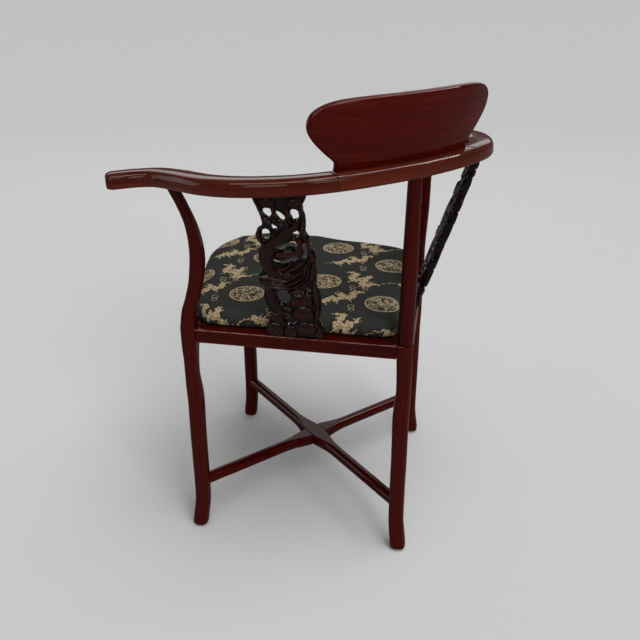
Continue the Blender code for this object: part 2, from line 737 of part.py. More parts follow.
def arm_section():
    """The rail's cross-section."""
    return rounded_section(ARM_W, ARM_T, ARM_TOP_EDGE, ARM_LOW_EDGE)


def make_arm(name):
    """A side length of the arm rail, from its seam to its rounded tip."""
    line = arm_line()
    seam, direction = arm_seam()
    start = line.length_at_first(ARM_SEAM_X) + ARM_W / 4
    tip = line.lengths[-1] - ARM_TIP_ROUND
    flat = [seam + direction * (FIT / 2), seam + direction * ARM_DOWEL_R]
    scales = [1.0, 1.0]
    for index in range(ARM_STEPS + 1):
        flat.append(line.at_length(start + (tip - start) * index / ARM_STEPS))
        scales.append(1.0)
    for index in range(1, ARM_TIP_STEPS + 1):
        angle = math.radians(90) * index / ARM_TIP_STEPS
        flat.append(line.at_length(tip + ARM_TIP_ROUND * math.sin(angle)))
        scales.append(ARM_TIP_SCALE + (1 - ARM_TIP_SCALE) * math.cos(angle))
    path = [(point.x, point.y, ARM_T / 2) for point in flat]
    side = SIDES[name.removeprefix("arm_")]
    arm = piece(name, swept(name, arm_section(), path, scales), ROSEWOOD, mirror(side) @ ARM_PLACE)
    cut(arm, *side_post_bore(side))
    cut(arm, splat_tenon(SPLAT_TENON_L, FIT), mirror(side) @ splat_place())
    for offset in (-1, 1):
        cut(arm, arm_dowel(FIT), mirror(side) @ arm_dowel_place(offset))


def make_arm_back():
    """The back length of the arm rail, between the two seams."""
    line = arm_line()
    seam, direction = arm_seam()
    reach = line.length_at_first(ARM_SEAM_X) - ARM_W / 4
    half = [line.at_length(reach * index / ARM_BACK_STEPS) for index in range(ARM_BACK_STEPS + 1)]
    half += [seam - direction * ARM_DOWEL_R, seam - direction * (FIT / 2)]
    flat = [Vector((-point.x, point.y)) for point in reversed(half[1:])] + half
    path = [(point.x, point.y, ARM_T / 2) for point in flat]
    arm = piece("arm_back", swept("arm_back", arm_section(), path, [1.0] * len(path)), ROSEWOOD, ARM_PLACE)
    foot = CORNERS["back"] * LEG_RADIUS
    cut(arm, loft(arm_tenon(foot, POST_TENON_R + FIT, -ARM_T, POST_TENON_L + FIT)))
    for side in SIDES.values():
        cut(arm, crest_dowel(FIT), mirror(side) @ crest_dowel_place())
        for offset in (-1, 1):
            cut(arm, arm_dowel(FIT), mirror(side) @ arm_dowel_place(offset))


def arm_dowel(grow):
    """A dowel across an arm seam."""
    return rod(ARM_DOWEL_R + grow, -ARM_DOWEL_L / 2 - grow, ARM_DOWEL_L / 2 + grow)


def arm_dowel_place(offset):
    """Where a dowel crosses the left seam: outside (1) or inside (-1) the centre line."""
    seam, direction = arm_seam()
    across = Vector((-direction.y, direction.x)) * (offset * ARM_DOWEL_SPACING / 2)
    turn = Vector((direction.x, direction.y, 0)).to_track_quat("Z", "Y").to_matrix().to_4x4()
    return ARM_PLACE @ Matrix.Translation((seam.x + across.x, seam.y + across.y, ARM_T / 2)) @ turn


def make_arm_dowels():
    """Two dowels at each seam of the arm rail."""
    for name, side in SIDES.items():
        for end, offset in (("outer", 1), ("inner", -1)):
            piece(f"arm_dowel_{name}_{end}", arm_dowel(0), DOWEL_WOOD, mirror(side) @ arm_dowel_place(offset))


# Crest board

def crest_place():
    """The crest's frame: origin at the middle of its rear face on the rail's top, Z along its lean."""
    height = arm_under(CREST_REAR_Y) + ARM_T / math.cos(ARM_TILT)
    return Matrix.Translation((0, CREST_REAR_Y, height)) @ Matrix.Rotation(-CREST_LEAN, 4, "X")


def crest_middle(x):
    """Depth of the board's middle line behind the origin, at a distance from its middle."""
    radius = CREST_BOW_R - CREST_T / 2
    return math.sqrt(radius ** 2 - x ** 2) - CREST_BOW_R


def crest_board():
    """The board as a flat plate with rounded rims, bent to its bow."""
    outline = list(CREST_OUTLINE) + [(-x, height) for x, height in reversed(CREST_OUTLINE)]
    bm = plate("crest_outline", [outline], CREST_T)
    bmesh.ops.dissolve_limit(bm, angle_limit=math.radians(1), verts=bm.verts, edges=bm.edges)
    rims = [edge for edge in bm.edges if edge.calc_face_angle() > math.radians(60)
            and abs(edge.verts[0].co.z - edge.verts[1].co.z) < CREST_T / 2]
    bmesh.ops.bevel(bm, geom=rims, offset=CREST_EDGE, segments=3, profile=0.5, affect="EDGES")
    widest = max(x for x, height in CREST_OUTLINE)
    for index in range(1, CREST_STEPS):
        x = widest * (2 * index / CREST_STEPS - 1)
        everything = [*bm.verts, *bm.edges, *bm.faces]
        bmesh.ops.bisect_plane(bm, geom=everything, plane_co=(x, 0, 0), plane_no=(1, 0, 0))
    for vert in bm.verts:
        angle = vert.co.x / CREST_BOW_R
        radius = CREST_BOW_R - CREST_T / 2 + vert.co.z
        vert.co = (radius * math.sin(angle), radius * math.cos(angle) - CREST_BOW_R, vert.co.y)
    bmesh.ops.recalc_face_normals(bm, faces=bm.faces)
    return bm


def make_crest():
    """The bowed board fitted to the rail, with its dowels."""
    crest = piece("crest_board", crest_board(), CREST_WOOD, crest_place())
    cut(crest, box((-BIG, -BIG, -BIG), (BIG, BIG, ARM_T + FIT)), ARM_PLACE)
    for name, side in SIDES.items():
        cut(crest, crest_dowel(FIT), mirror(side) @ crest_dowel_place())
        piece(f"crest_dowel_{name}", crest_dowel(0), DOWEL_WOOD, mirror(side) @ crest_dowel_place())


def crest_dowel(grow):
    """A dowel between the arm rail and the crest."""
    return rod(CREST_DOWEL_R + grow, -CREST_DOWEL_L / 2 - grow, CREST_DOWEL_L / 2 + grow)


def crest_dowel_place():
    """Where the left dowel stands, at the crest's base."""
    x = CREST_DOWEL_SPACING / 2
    return crest_place() @ Matrix.Translation((x, crest_middle(x), 0))


# Splats

def splat_line():
    """Base of the left splat on the seat rail, and the way from there to the arm rail."""
    base = SEAT_P * (RAIL_MIDDLE + SPLAT_SET_OUT) + UP * SEAT_TOP
    head = SEAT_P * (LEG_RADIUS * SPLAT_HEAD_RATIO)
    return base, head + UP * arm_under(head.y) - base


def splat_place():
    """The left splat's frame: X towards the back post, Y up its face, Z out of its rear face."""
    base, rise = splat_line()
    upward = rise.normalized()
    turn = Matrix((SEAT_Q, upward, SEAT_Q.cross(upward))).transposed().to_4x4()
    return Matrix.Translation(base) @ turn


def splat_tenon(reach, grow):
    """A tenon at the splat's foot (negative reach) or head, in the splat's frame."""
    length = splat_line()[1].length
    inside = SPLAT_TENON_L
    half_w = SPLAT_TENON_W / 2 + grow
    half_t = SPLAT_TENON_T / 2 + grow
    if reach < 0:
        return box((-half_w, reach - grow, -half_t), (half_w, inside, half_t))
    return box((-half_w, length - inside, -half_t), (half_w, length + reach + grow, half_t))


def make_splats():
    """The pierced splats, fitted between the seat rail and the arm rail."""
    length = splat_line()[1].length
    stretch = length / SPLAT_DRAWN_L
    low, high = -SPLAT_SPARE, SPLAT_DRAWN_L + SPLAT_SPARE
    left = [(SPLAT_LEFT_EDGE[0][0], low), *SPLAT_LEFT_EDGE, (SPLAT_LEFT_EDGE[-1][0], high)]
    right = [(SPLAT_RIGHT_EDGE[0][0], high), *SPLAT_RIGHT_EDGE, (SPLAT_RIGHT_EDGE[-1][0], low)]
    outlines = [[(x, y * stretch) for x, y in outline] for outline in (left + right, *SPLAT_OPENINGS)]
    for name, side in SIDES.items():
        place = mirror(side) @ splat_place()
        splat = piece(f"splat_{name}", plate(f"splat_{name}", outlines, SPLAT_T), CARVING, place)
        cut(splat, box((-BIG, -BIG, -BIG), (BIG, BIG, SEAT_TOP + FIT)))
        cut(splat, above_arm_under(FIT))
        add(splat, splat_tenon(-SPLAT_TENON_L, 0), place)
        add(splat, splat_tenon(SPLAT_TENON_L, 0), place)


# Cushion

def cushion_ring(inset, height):
    """A ring of the cushion's cage, set in towards its middle from the widest line."""
    line = Line([(LEG_RADIUS * x, LEG_RADIUS * y) for x, y in CUSHION_LINE_RATIOS])
    left = line.points[::LINE_STEPS // CUSHION_STEPS]
    around = left + [Vector((-point.x, point.y)) for point in reversed(left[1:-1])]
    middle = (left[0] + left[-1]) / 2
    points = []
    for point in around:
        outward = point - middle
        flat = middle + outward * (1 - inset / outward.length)
        points.append(Vector((flat.x, flat.y, height)))
    return points


def make_cushion():
    """The loose cushion: a coarse cage rounded by subdivision."""
    rings = [cushion_ring(CUSHION_H * inset, CUSHION_H * share) for share, inset in CUSHION_EDGE_RATIOS]
    cushion = piece("seat_cushion", loft(rings), BROCADE)
    cushion.location = (0, 0, SEAT_TOP + FIT)
    rounding = cushion.modifiers.new("rounding", "SUBSURF")
    rounding.levels = 1
    rounding.render_levels = 1


def main():
    """Build every piece of the chair."""
    clear_scene()
    for corner in CORNERS:
        make_leg(corner)
    make_back_post()
    make_glides()
    make_seat_rails()
    make_seat_panel()
    make_stretchers()
    make_arm("arm_left")
    make_arm("arm_right")
    make_arm_back()
    make_arm_dowels()
    make_crest()
    make_splats()
    make_cushion()


main()
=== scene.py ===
"""Looks of a lacquered corner armchair with carved splats and a brocade cushion.

Metres, +Z up, unless a class says millimetres. The sitter faces -Y and +X is the sitter's left, as in the
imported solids.
"""

import logging
import math
from dataclasses import dataclass
from enum import Enum
from typing import Callable, ClassVar, Sequence, Union

import bmesh
import bpy
import numpy as np
from mathutils import Matrix, Vector
from mathutils.kdtree import KDTree


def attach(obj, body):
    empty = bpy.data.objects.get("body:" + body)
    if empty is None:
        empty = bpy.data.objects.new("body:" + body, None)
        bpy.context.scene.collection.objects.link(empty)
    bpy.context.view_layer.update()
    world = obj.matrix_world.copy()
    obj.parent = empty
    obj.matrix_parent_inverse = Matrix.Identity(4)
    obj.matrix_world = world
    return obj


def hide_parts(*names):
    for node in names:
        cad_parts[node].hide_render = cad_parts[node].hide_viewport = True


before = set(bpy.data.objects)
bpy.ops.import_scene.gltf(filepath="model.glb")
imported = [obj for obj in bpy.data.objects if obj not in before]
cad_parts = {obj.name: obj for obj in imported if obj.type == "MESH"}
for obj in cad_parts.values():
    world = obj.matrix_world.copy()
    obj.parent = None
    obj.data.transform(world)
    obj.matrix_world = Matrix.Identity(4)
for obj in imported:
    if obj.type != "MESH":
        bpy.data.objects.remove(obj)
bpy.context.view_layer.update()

log = logging.getLogger("corner_armchair")
BMesh = bmesh.types.BMesh
Mesh = bpy.types.Mesh
Material = bpy.types.Material
Socket = bpy.types.NodeSocket
Pair = tuple[float, float]
Knot = tuple[float, float, float]
Colour = tuple[float, float, float]

OUT = Vector((1, 1, 0)).normalized()
ALONG = Vector((-1, 1, 0)).normalized()
UP = Vector((0, 0, 1))
RIGHT_ANGLE = math.radians(90)
MM = 0.001
SAME = 1e-6
LEVEL = 1e-5


class Body(Enum):
    """The two bodies of the chair."""

    FRAME = "frame"
    CUSHION = "cushion"


class Corner(Enum):
    """A corner of the seat, as the way out to it from the chair's middle."""

    FRONT = (0, -1, 0)
    LEFT = (1, 0, 0)
    BACK = (0, 1, 0)
    RIGHT = (-1, 0, 0)

    def out(self) -> Vector:
        """The way out to this corner."""
        return Vector(self.value)


class Side(Enum):
    """A side of the chair, as the sign of its X."""

    LEFT = 1
    RIGHT = -1

    def mirror(self) -> Matrix:
        """The identity for the left side, the mirror in X for the right."""
        return Matrix.Diagonal((self.value, 1, 1, 1))


# Shared sizes

@dataclass(frozen=True)
class Plan:
    """Sizes that several pieces of the chair share."""

    fit: float = 0.0003
    seat_top: float = 0.452
    leg_out: float = 0.2738
    head_side: float = 0.0270
    rail_h: float = 0.026
    rail_w: float = 0.026
    rail_set_in: float = 0.0008
    arm_w: float = 0.0455
    arm_t: float = 0.026
    arm_back_y: float = 0.2695
    arm_back_under: float = 0.743
    arm_tilt: float = math.radians(6.3)
    housing: float = 0.0015

    def arm_under(self, y: float) -> float:
        """Height of the arm rail's underside at a depth."""
        return self.arm_back_under + (y - self.arm_back_y) * math.tan(self.arm_tilt)

    def arm_place(self) -> Matrix:
        """The arm rail's own frame, with its underside at zero height."""
        back = Matrix.Translation((0, self.arm_back_y, self.arm_back_under))
        return back @ Matrix.Rotation(self.arm_tilt, 4, "X") @ Matrix.Translation((0, -self.arm_back_y, 0))

    def rail_outer(self) -> float:
        """Distance from the chair's middle to the outer face of a seat rail."""
        return self.leg_out / math.sqrt(2) + self.head_side / 2 - self.rail_set_in


PLAN = Plan()


class Line:
    """A smooth line through knots, read by length along it or by its first coordinate."""

    def __init__(self, knots: Sequence[Sequence[float]], steps: int = 8) -> None:
        """Draw the line.

        Args:
            knots: Points that the line passes through.
            steps: Points per span.
        """
        spans = [Vector(knot) for knot in knots]
        ends = [spans[0] * 2 - spans[1], *spans, spans[-1] * 2 - spans[-2]]
        self.points: list[Vector] = []
        for a, b, c, d in zip(ends, ends[1:], ends[2:], ends[3:]):
            for index in range(steps):
                t = index / steps
                square = 2 * a - 5 * b + 4 * c - d
                cube = 3 * b - a - 3 * c + d
                self.points.append(0.5 * (2 * b + (c - a) * t + square * t ** 2 + cube * t ** 3))
        self.points.append(spans[-1])
        self.lengths = [0.0]
        for before, after in zip(self.points, self.points[1:]):
            self.lengths.append(self.lengths[-1] + (after - before).length)

    def _span(self, value: float, scale: Sequence[float]) -> tuple[int, float]:
        """Find the two points between which a rising scale reaches a value.

        Args:
            value: The value.
            scale: One number for each point.

        Returns:
            The number of the first point, and the share of the way to the next.
        """
        last = len(scale) - 2
        index = next((i for i in range(last) if value <= scale[i + 1]), last)
        return index, (value - scale[index]) / (scale[index + 1] - scale[index])

    def at_length(self, length: float) -> Vector:
        """The point at a length along the line."""
        index, share = self._span(length, self.lengths)
        return self.points[index].lerp(self.points[index + 1], share)

    def at_first(self, value: float) -> Vector:
        """The point whose first coordinate has a value."""
        index, share = self._span(value, [point[0] for point in self.points])
        return self.points[index].lerp(self.points[index + 1], share)

    def length_at_first(self, value: float) -> float:
        """The length along the line where the first coordinate has a value."""
        index, share = self._span(value, [point[0] for point in self.points])
        return self.lengths[index] + share * (self.lengths[index + 1] - self.lengths[index])


def place_on(origin: Vector, across: Vector, upward: Vector, wide: float = 1.0, high: float = 1.0) -> Matrix:
    """A frame at a point.

    Args:
        origin: The point.
        across: Direction of the frame's X.
        upward: Direction of its Y.
        wide: Scale along X.
        high: Scale along Y.

    Returns:
        The matrix that sets a shape into the frame.
    """
    ahead = across.cross(upward)
    turn = Matrix((across * wide, upward * high, ahead)).transposed().to_4x4()
    return Matrix.Translation(origin) @ turn


# Mesh tools

def linked(name: str, data: bpy.types.ID) -> bpy.types.Object:
    """Put a new object into the scene.

    Args:
        name: Its name.
        data: Its mesh, curve, lamp or camera.

    Returns:
        The object.
    """
    item = bpy.data.objects.new(name, data)
    bpy.context.scene.collection.objects.link(item)
    return item


def opened(mesh: Mesh) -> BMesh:
    """Open a mesh for shaping.

    Args:
        mesh: The mesh.

    Returns:
        A bmesh of its shape.
    """
    bm = bmesh.new()
    bm.from_mesh(mesh)
    return bm


def closed(bm: BMesh, name: str) -> Mesh:
    """Close a bmesh after its shaping.

    Args:
        bm: The bmesh, used up by this.
        name: The new mesh's name.

    Returns:
        The mesh.
    """
    mesh = bpy.data.meshes.new(name)
    bm.to_mesh(mesh)
    bm.free()
    return mesh


def applied(item: bpy.types.Object) -> Mesh:
    """Apply an object's modifiers.

    Args:
        item: The object, used up by this.

    Returns:
        The mesh that they leave.
    """
    bpy.context.view_layer.update()
    mesh = bpy.data.meshes.new_from_object(item.evaluated_get(bpy.context.evaluated_depsgraph_get()))
    bpy.data.objects.remove(item, do_unlink=True)
    return mesh


def modified(bm: BMesh, kind: str, **settings: object) -> Mesh:
    """A mesh with one modifier applied.

    Args:
        bm: The mesh, used up by this.
        kind: The modifier's type.
        settings: Its properties.

    Returns:
        The changed mesh.
    """
    item = linked("rough_shape", closed(bm, "rough_shape"))
    modifier = item.modifiers.new("shaping", kind)
    for name, value in settings.items():
        setattr(modifier, name, value)
    return applied(item)


def ease(bm: BMesh, geom: Sequence[object], width: float, segments: int, affect: str = "EDGES") -> None:
    """Round some edges or corners of a mesh to a width."""
    bmesh.ops.bevel(bm, geom=geom, offset=width, segments=segments, profile=0.5, affect=affect, material=-1)


def soften(bm: BMesh, factor: float) -> None:
    """Smooth a mesh once."""
    axes = {f"use_axis_{axis}": True for axis in "xyz"}
    bmesh.ops.smooth_vert(bm, verts=bm.verts, factor=factor, **axes)


def saw(bm: BMesh, point: Vector, way: Vector, clear: bool = False) -> None:
    """Cut a mesh along a plane.

    Args:
        bm: The mesh.
        point: A point of the plane.
        way: The plane's direction.
        clear: Whether what lies behind the plane goes and the cut is closed.
    """
    everything = [*bm.verts, *bm.edges, *bm.faces]
    bmesh.ops.bisect_plane(bm, geom=everything, plane_co=point, plane_no=way, clear_inner=clear)
    if clear:
        rim = [edge for edge in bm.edges if edge.is_boundary]
        bmesh.ops.holes_fill(bm, edges=rim, sides=0)


def grain_from(bm: BMesh, way: Callable[[Vector], Sequence[float]]) -> None:
    """Give a mesh its grain coordinates.

    Args:
        bm: The mesh.
        way: Turns a point into distances across, across and along the grain.
    """
    layer = bm.verts.layers.float_vector.new("grain")
    for vert in bm.verts:
        vert[layer] = way(vert.co)


class Bar:
    """A bar of wood: a rounded section drawn out from place to place, with its grain along it."""

    crisp = 0.003

    def __init__(self, section: Sequence[Pair], radii: Sequence[float], segments: int = 6) -> None:
        """Draw the section.

        Args:
            section: Corners of the section, in order.
            radii: Rounding of each corner.
            segments: Fineness of the rounding.
        """
        self.mesh = bmesh.new()
        self.grain = self.mesh.verts.layers.float_vector.new("grain")
        edge_highlight_share = self.mesh.verts.layers.float.new("edge_highlight_share")
        corners = [self.mesh.verts.new((x, y, 0)) for x, y in section]
        self.mesh.faces.new(corners)
        for corner, radius in zip(corners, radii):
            if radius > 0:
                ease(self.mesh, [corner], radius, segments, "VERTICES")
        for vert in self.mesh.verts:
            vert[self.grain] = vert.co
            # Marks the crisp corners for the lacquer's painted edge highlight.
            for corner, radius in zip(section, radii):
                if 0 < radius < self.crisp:
                    gap = (vert.co.xy - Vector(corner)).length / radius
                    vert[edge_highlight_share] = max(vert[edge_highlight_share], min(2 - 2 * gap, 1.0))

    @classmethod
    def square(cls, width: float, depth: float, radii: Pair, segments: int = 6) -> "Bar":
        """A bar of four corners.

        Args:
            width: Size across.
            depth: Size upwards.
            radii: Rounding of the upper and of the lower corners.
            segments: Fineness of the rounding.

        Returns:
            The bar's section, ready to be drawn out.
        """
        x, y = width / 2, depth / 2
        corners = ((x, y), (-x, y), (-x, -y), (x, -y))
        return cls(corners, (radii[0], radii[0], radii[1], radii[1]), segments)

    @classmethod
    def round(cls, radius: float, around: int, shift: float = 0.0) -> "Bar":
        """A round bar, its first point turned by a share of the step between points."""
        turns = [math.tau * (index + shift) / around for index in range(around)]
        return cls([(radius * math.cos(turn), radius * math.sin(turn)) for turn in turns], ())

    def draw(self, places: Sequence[Matrix]) -> BMesh:
        """Draw the section out through its places.

        Args:
            places: Where the section stands, from end to end.

        Returns:
            The closed bar.
        """
        self.mesh.faces.ensure_lookup_table()
        face = self.mesh.faces[0]
        bmesh.ops.transform(self.mesh, matrix=places[0], verts=face.verts)
        start = face
        run = 0.0
        for before, after in zip(places, places[1:]):
            run += (after.translation - before.translation).length
            drawn = bmesh.ops.extrude_face_region(self.mesh, geom=[face])
            if face is not start:
                bmesh.ops.delete(self.mesh, geom=[face], context="FACES_ONLY")
            face = next(item for item in drawn["geom"] if isinstance(item, bmesh.types.BMFace))
            bmesh.ops.transform(self.mesh, matrix=after @ before.inverted(), verts=face.verts)
            for vert in face.verts:
                vert[self.grain] = (vert[self.grain].x, vert[self.grain].y, run)
        bmesh.ops.recalc_face_normals(self.mesh, faces=self.mesh.faces)
        return self.mesh


@dataclass
class Piece:
    """A finished piece of the chair, standing for its solid."""

    node: str
    finish: "Finish"
    body: Body = Body.FRAME
    smooth_angle: float = math.radians(38)
    name: str = ""
    cap_sides: int = 8

    def make(self, bm: BMesh, place: Matrix = Matrix()) -> bpy.types.Object:
        """Turn a mesh into the piece.

        Args:
            bm: The mesh, used up by this.
            place: Where it stands; a mirror keeps the faces pointing out.

        Returns:
            The piece's object.
        """
        name = self.name or f"{self.node}_looks"
        bm.transform(place)
        if place.determinant() < 0:
            bmesh.ops.reverse_faces(bm, faces=bm.faces)
        mesh = closed(bm, name)
        mesh.shade_smooth()
        mesh.set_sharp_from_angle(angle=self.smooth_angle)
        caps = [face for face in mesh.polygons if len(face.vertices) > self.cap_sides]
        rims = {pair for face in caps for pair in face.edge_keys}
        for edge in mesh.edges:
            if edge.key in rims:
                edge.use_edge_sharp = True
        mesh.materials.append(self.finish.material())
        item = linked(name, mesh)
        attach(item, self.body.value)
        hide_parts(self.node)
        log.info("%s: %d faces", name, len(mesh.polygons))
        return item


# Finishes

Number = Union[float, "Shade"]


def math_node(kind: str) -> Callable[..., "Shade"]:
    """A method that feeds a number, and others after it, to a Math node of a kind."""
    return lambda shade, *others: shade.recipe.math(kind, shade, *others)


class Shade:
    """A number in a material's node tree, with arithmetic that adds nodes."""

    __add__ = math_node("ADD")
    __sub__ = math_node("SUBTRACT")
    __mul__ = math_node("MULTIPLY")
    least = math_node("MINIMUM")
    most = math_node("MAXIMUM")
    size = math_node("ABSOLUTE")

    def __init__(self, recipe: "Recipe", socket: Socket) -> None:
        """Hold a socket of a recipe."""
        self.recipe = recipe
        self.socket = socket

    def step(self, low: float, high: float) -> "Shade":
        """A smooth rise from 0 to 1.

        Args:
            low: The number where it is 0.
            high: The number where it is 1.

        Returns:
            The risen number.
        """
        made = self.recipe.node("ShaderNodeMapRange", interpolation_type="SMOOTHSTEP")
        self.recipe.feed(made, value=self, from_min=low, from_max=high)
        return Shade(self.recipe, made.outputs["Result"])

    def between(self, low: float, high: float) -> "Shade":
        """The number as a share of the way from one value to another."""
        return self * (high - low) + low


def least_of(values: Sequence[Shade]) -> Shade:
    """The smallest of several numbers.

    Args:
        values: The numbers.

    Returns:
        The smallest.
    """
    best = values[0]
    for value in values[1:]:
        best = best.least(value)
    return best


@dataclass(frozen=True)
class Noise:
    """A cloudy noise: how fine it is, its finer layers, how it is stirred and its scale along each axis."""

    scale: float
    detail: float = 2.0
    distortion: float = 0.0
    drawn: Colour = (1, 1, 1)


class Recipe:
    """A material being put together from nodes."""

    mix_inputs = (0, 6, 7)
    mix_result = 2

    def __init__(self, name: str) -> None:
        """Start a material with only its shader.

        Args:
            name: The material's name.
        """
        self.made = bpy.data.materials.new(name)
        self.made.use_nodes = True
        self.tree = self.made.node_tree
        self.shader = self.tree.nodes["Principled BSDF"]

    def node(self, kind: str, **settings: object) -> bpy.types.Node:
        """Add a node.

        Args:
            kind: Its type.
            settings: Its properties.

        Returns:
            The node.
        """
        made = self.tree.nodes.new(kind)
        for name, value in settings.items():
            setattr(made, name, value)
        return made

    def link(self, value: Union[Number, Colour, Socket], socket: Socket) -> None:
        """Feed a socket.

        Args:
            value: A number, a colour or another socket.
            socket: The socket that takes it.
        """
        if isinstance(value, Shade):
            self.tree.links.new(value.socket, socket)
        elif isinstance(value, Socket):
            self.tree.links.new(value, socket)
        elif isinstance(value, tuple) and len(value) == 3 and socket.type == "RGBA":
            socket.default_value = (*value, 1.0)
        else:
            socket.default_value = value

    def feed(self, made: bpy.types.Node, **values: object) -> None:
        """Feed a node's sockets, named with underscores for spaces."""
        for name, value in values.items():
            self.link(value, made.inputs[name.replace("_", " ").title().replace("Ior", "IOR")])

    def math(self, operation: str, *values: Number) -> Shade:
        """The result of a Math node.

        Args:
            operation: What it does.
            values: Its numbers, in order.

        Returns:
            The result.
        """
        made = self.node("ShaderNodeMath", operation=operation)
        for value, socket in zip(values, made.inputs):
            self.link(value, socket)
        return Shade(self, made.outputs["Value"])

    def attribute(self, name: str) -> Socket:
        """The vector of a piece's own attribute."""
        return self.node("ShaderNodeAttribute", attribute_name=name).outputs["Vector"]

    def number(self, name: str) -> Shade:
        """The number of a piece's own attribute."""
        return Shade(self, self.node("ShaderNodeAttribute", attribute_name=name).outputs["Fac"])

    def vector(self, operation: str, *values: Union[Colour, Socket], **named: Shade) -> Socket:
        """The result of a Vector Math node.

        Args:
            operation: What it does.
            values: Its vectors, in order.
            named: Its other inputs, by name.

        Returns:
            The socket of the result.
        """
        made = self.node("ShaderNodeVectorMath", operation=operation)
        for value, socket in zip(values, made.inputs):
            self.link(value, socket)
        self.feed(made, **named)
        return made.outputs["Value" if operation in ("DOT_PRODUCT", "LENGTH") else "Vector"]

    def place(self) -> Socket:
        """Object coordinates."""
        return self.node("ShaderNodeTexCoord").outputs["Object"]

    def stretch(self, point: Socket, scale: Colour, turn: Colour = (0, 0, 0)) -> Socket:
        """A point scaled and turned.

        Args:
            point: The point's socket.
            scale: Scale along each axis.
            turn: Turn about each axis.

        Returns:
            The socket of the changed point.
        """
        made = self.node("ShaderNodeMapping", vector_type="POINT")
        self.feed(made, vector=point, scale=scale, rotation=turn)
        return made.outputs["Vector"]

    def noise(self, point: Socket, look: Noise) -> Shade:
        """Cloudy noise.

        Args:
            point: Where it is read.
            look: How it looks.

        Returns:
            A number from 0 to 1.
        """
        made = self.node("ShaderNodeTexNoise")
        self.feed(made, vector=self.stretch(point, look.drawn), scale=look.scale, detail=look.detail,
                  distortion=look.distortion)
        return Shade(self, made.outputs["Fac"])

    def cells(self, point: Socket, scale: float, feature: str = "F1") -> Shade:
        """A pattern of cells.

        Args:
            point: Where it is read.
            scale: Its fineness.
            feature: Which distance is read.

        Returns:
            The distance.
        """
        made = self.node("ShaderNodeTexVoronoi", feature=feature, voronoi_dimensions="2D")
        self.feed(made, vector=point, scale=scale)
        return Shade(self, made.outputs["Distance"])

    def mix(self, share: Number, first: Union[Colour, Socket], second: Union[Colour, Socket]) -> Socket:
        """A colour between two colours.

        Args:
            share: Share of the second colour.
            first: Colour at share 0.
            second: Colour at share 1.

        Returns:
            The mixed colour's socket.
        """
        made = self.node("ShaderNodeMix", data_type="RGBA")
        factor, start, end = (made.inputs[number] for number in self.mix_inputs)
        for value, socket in ((share, factor), (first, start), (second, end)):
            self.link(value, socket)
        return made.outputs[self.mix_result]

    def bump(self, height: Shade, distance: float) -> None:
        """Raise the surface.

        Args:
            height: How far, from 0 to 1.
            distance: What 1 stands for, in metres.
        """
        made = self.node("ShaderNodeBump")
        self.feed(made, distance=distance, height=height)
        self.link(made.outputs["Normal"], self.shader.inputs["Normal"])

    def finish(self, **sockets: object) -> Material:
        """The material, with its shader's sockets fed."""
        self.feed(self.shader, **sockets)
        return self.made


@dataclass(frozen=True)
class Finish:
    """A finish of the chair, made into a material once."""

    name: str
    slot: str

    def material(self) -> Material:
        """The material, made on first use."""
        return bpy.data.materials.get(self.name) or self.mix(Recipe(self.name))

    def mix(self, recipe: Recipe) -> Material:
        """Put the material together."""
        raise NotImplementedError


@dataclass(frozen=True)
class Lacquer(Finish):
    """Red-brown rosewood under clear lacquer, with its grain along the piece."""

    dark: Colour = (0.023, 0.0011, 0.0006)
    body: Colour = (0.046, 0.0022, 0.0010)
    light: Colour = (0.080, 0.0066, 0.0026)
    painted_edge_highlight: Colour = (0.230, 0.105, 0.085)
    figure: float = 0.55
    pores: float = 0.45
    gloss: float = 0.07
    bands: Noise = Noise(46, 4, 0.9, (1, 1, 0.055))
    lines: Noise = Noise(330, 3, 0.4, (1, 1, 0.022))
    pits: Noise = Noise(900, 2, 0.0, (1, 1, 0.035))
    clouds: Noise = Noise(9, 2, 0.0, (1, 1, 0.4))
    highlight_breaks: Noise = Noise(40, 3)
    hazes: Noise = Noise(26, 3)
    cloud_share: float = 0.30
    body_rise: Pair = (0.30, 0.50)
    light_rise: Pair = (0.48, 0.70)
    pit_rise: Pair = (0.60, 0.72)
    pit_cut: Pair = (0.58, 0.75)
    highlight_break_rise: Pair = (0.30, 0.62)
    line_raise: float = 0.3
    relief: float = 0.00006
    haze: Pair = (0.26, 0.40)
    coat: float = 0.24
    coat_ior: float = 1.36

    def mix(self, recipe: Recipe) -> Material:
        """Bands of colour, fine pores and a lacquer that fills most of them, with a painted highlight on
        crisp edges.

        Args:
            recipe: The material being mixed.

        Returns:
            The finished material.
        """
        grain = recipe.attribute("grain")
        lines = recipe.noise(grain, self.lines)
        pits = recipe.noise(grain, self.pits)
        tone = recipe.noise(grain, self.bands) * self.figure + lines * (1 - self.figure)
        tone = tone + (recipe.noise(grain, self.clouds) - 0.5) * self.cloud_share
        colour = recipe.mix(tone.step(*self.body_rise), self.dark, self.body)
        colour = recipe.mix(tone.step(*self.light_rise), colour, self.light)
        colour = recipe.mix(pits.step(*self.pit_rise) * self.pores, colour, self.dark)
        # Paler colour where a bar's corners are crisp (the seat rails' edges): a painted edge highlight,
        # broken up by noise.
        painted_highlight = recipe.number("edge_highlight_share") * recipe.noise(grain, self.highlight_breaks).step(*self.highlight_break_rise)
        colour = recipe.mix(painted_highlight, colour, self.painted_edge_highlight)
        recipe.bump(lines * self.line_raise - pits.step(*self.pit_cut), self.relief)
        haze = recipe.noise(grain, self.hazes).between(*self.haze)
        return recipe.finish(base_color=colour, roughness=haze, specular_ior_level=0.0, coat_weight=self.coat,
                             coat_roughness=self.gloss, coat_ior=self.coat_ior)


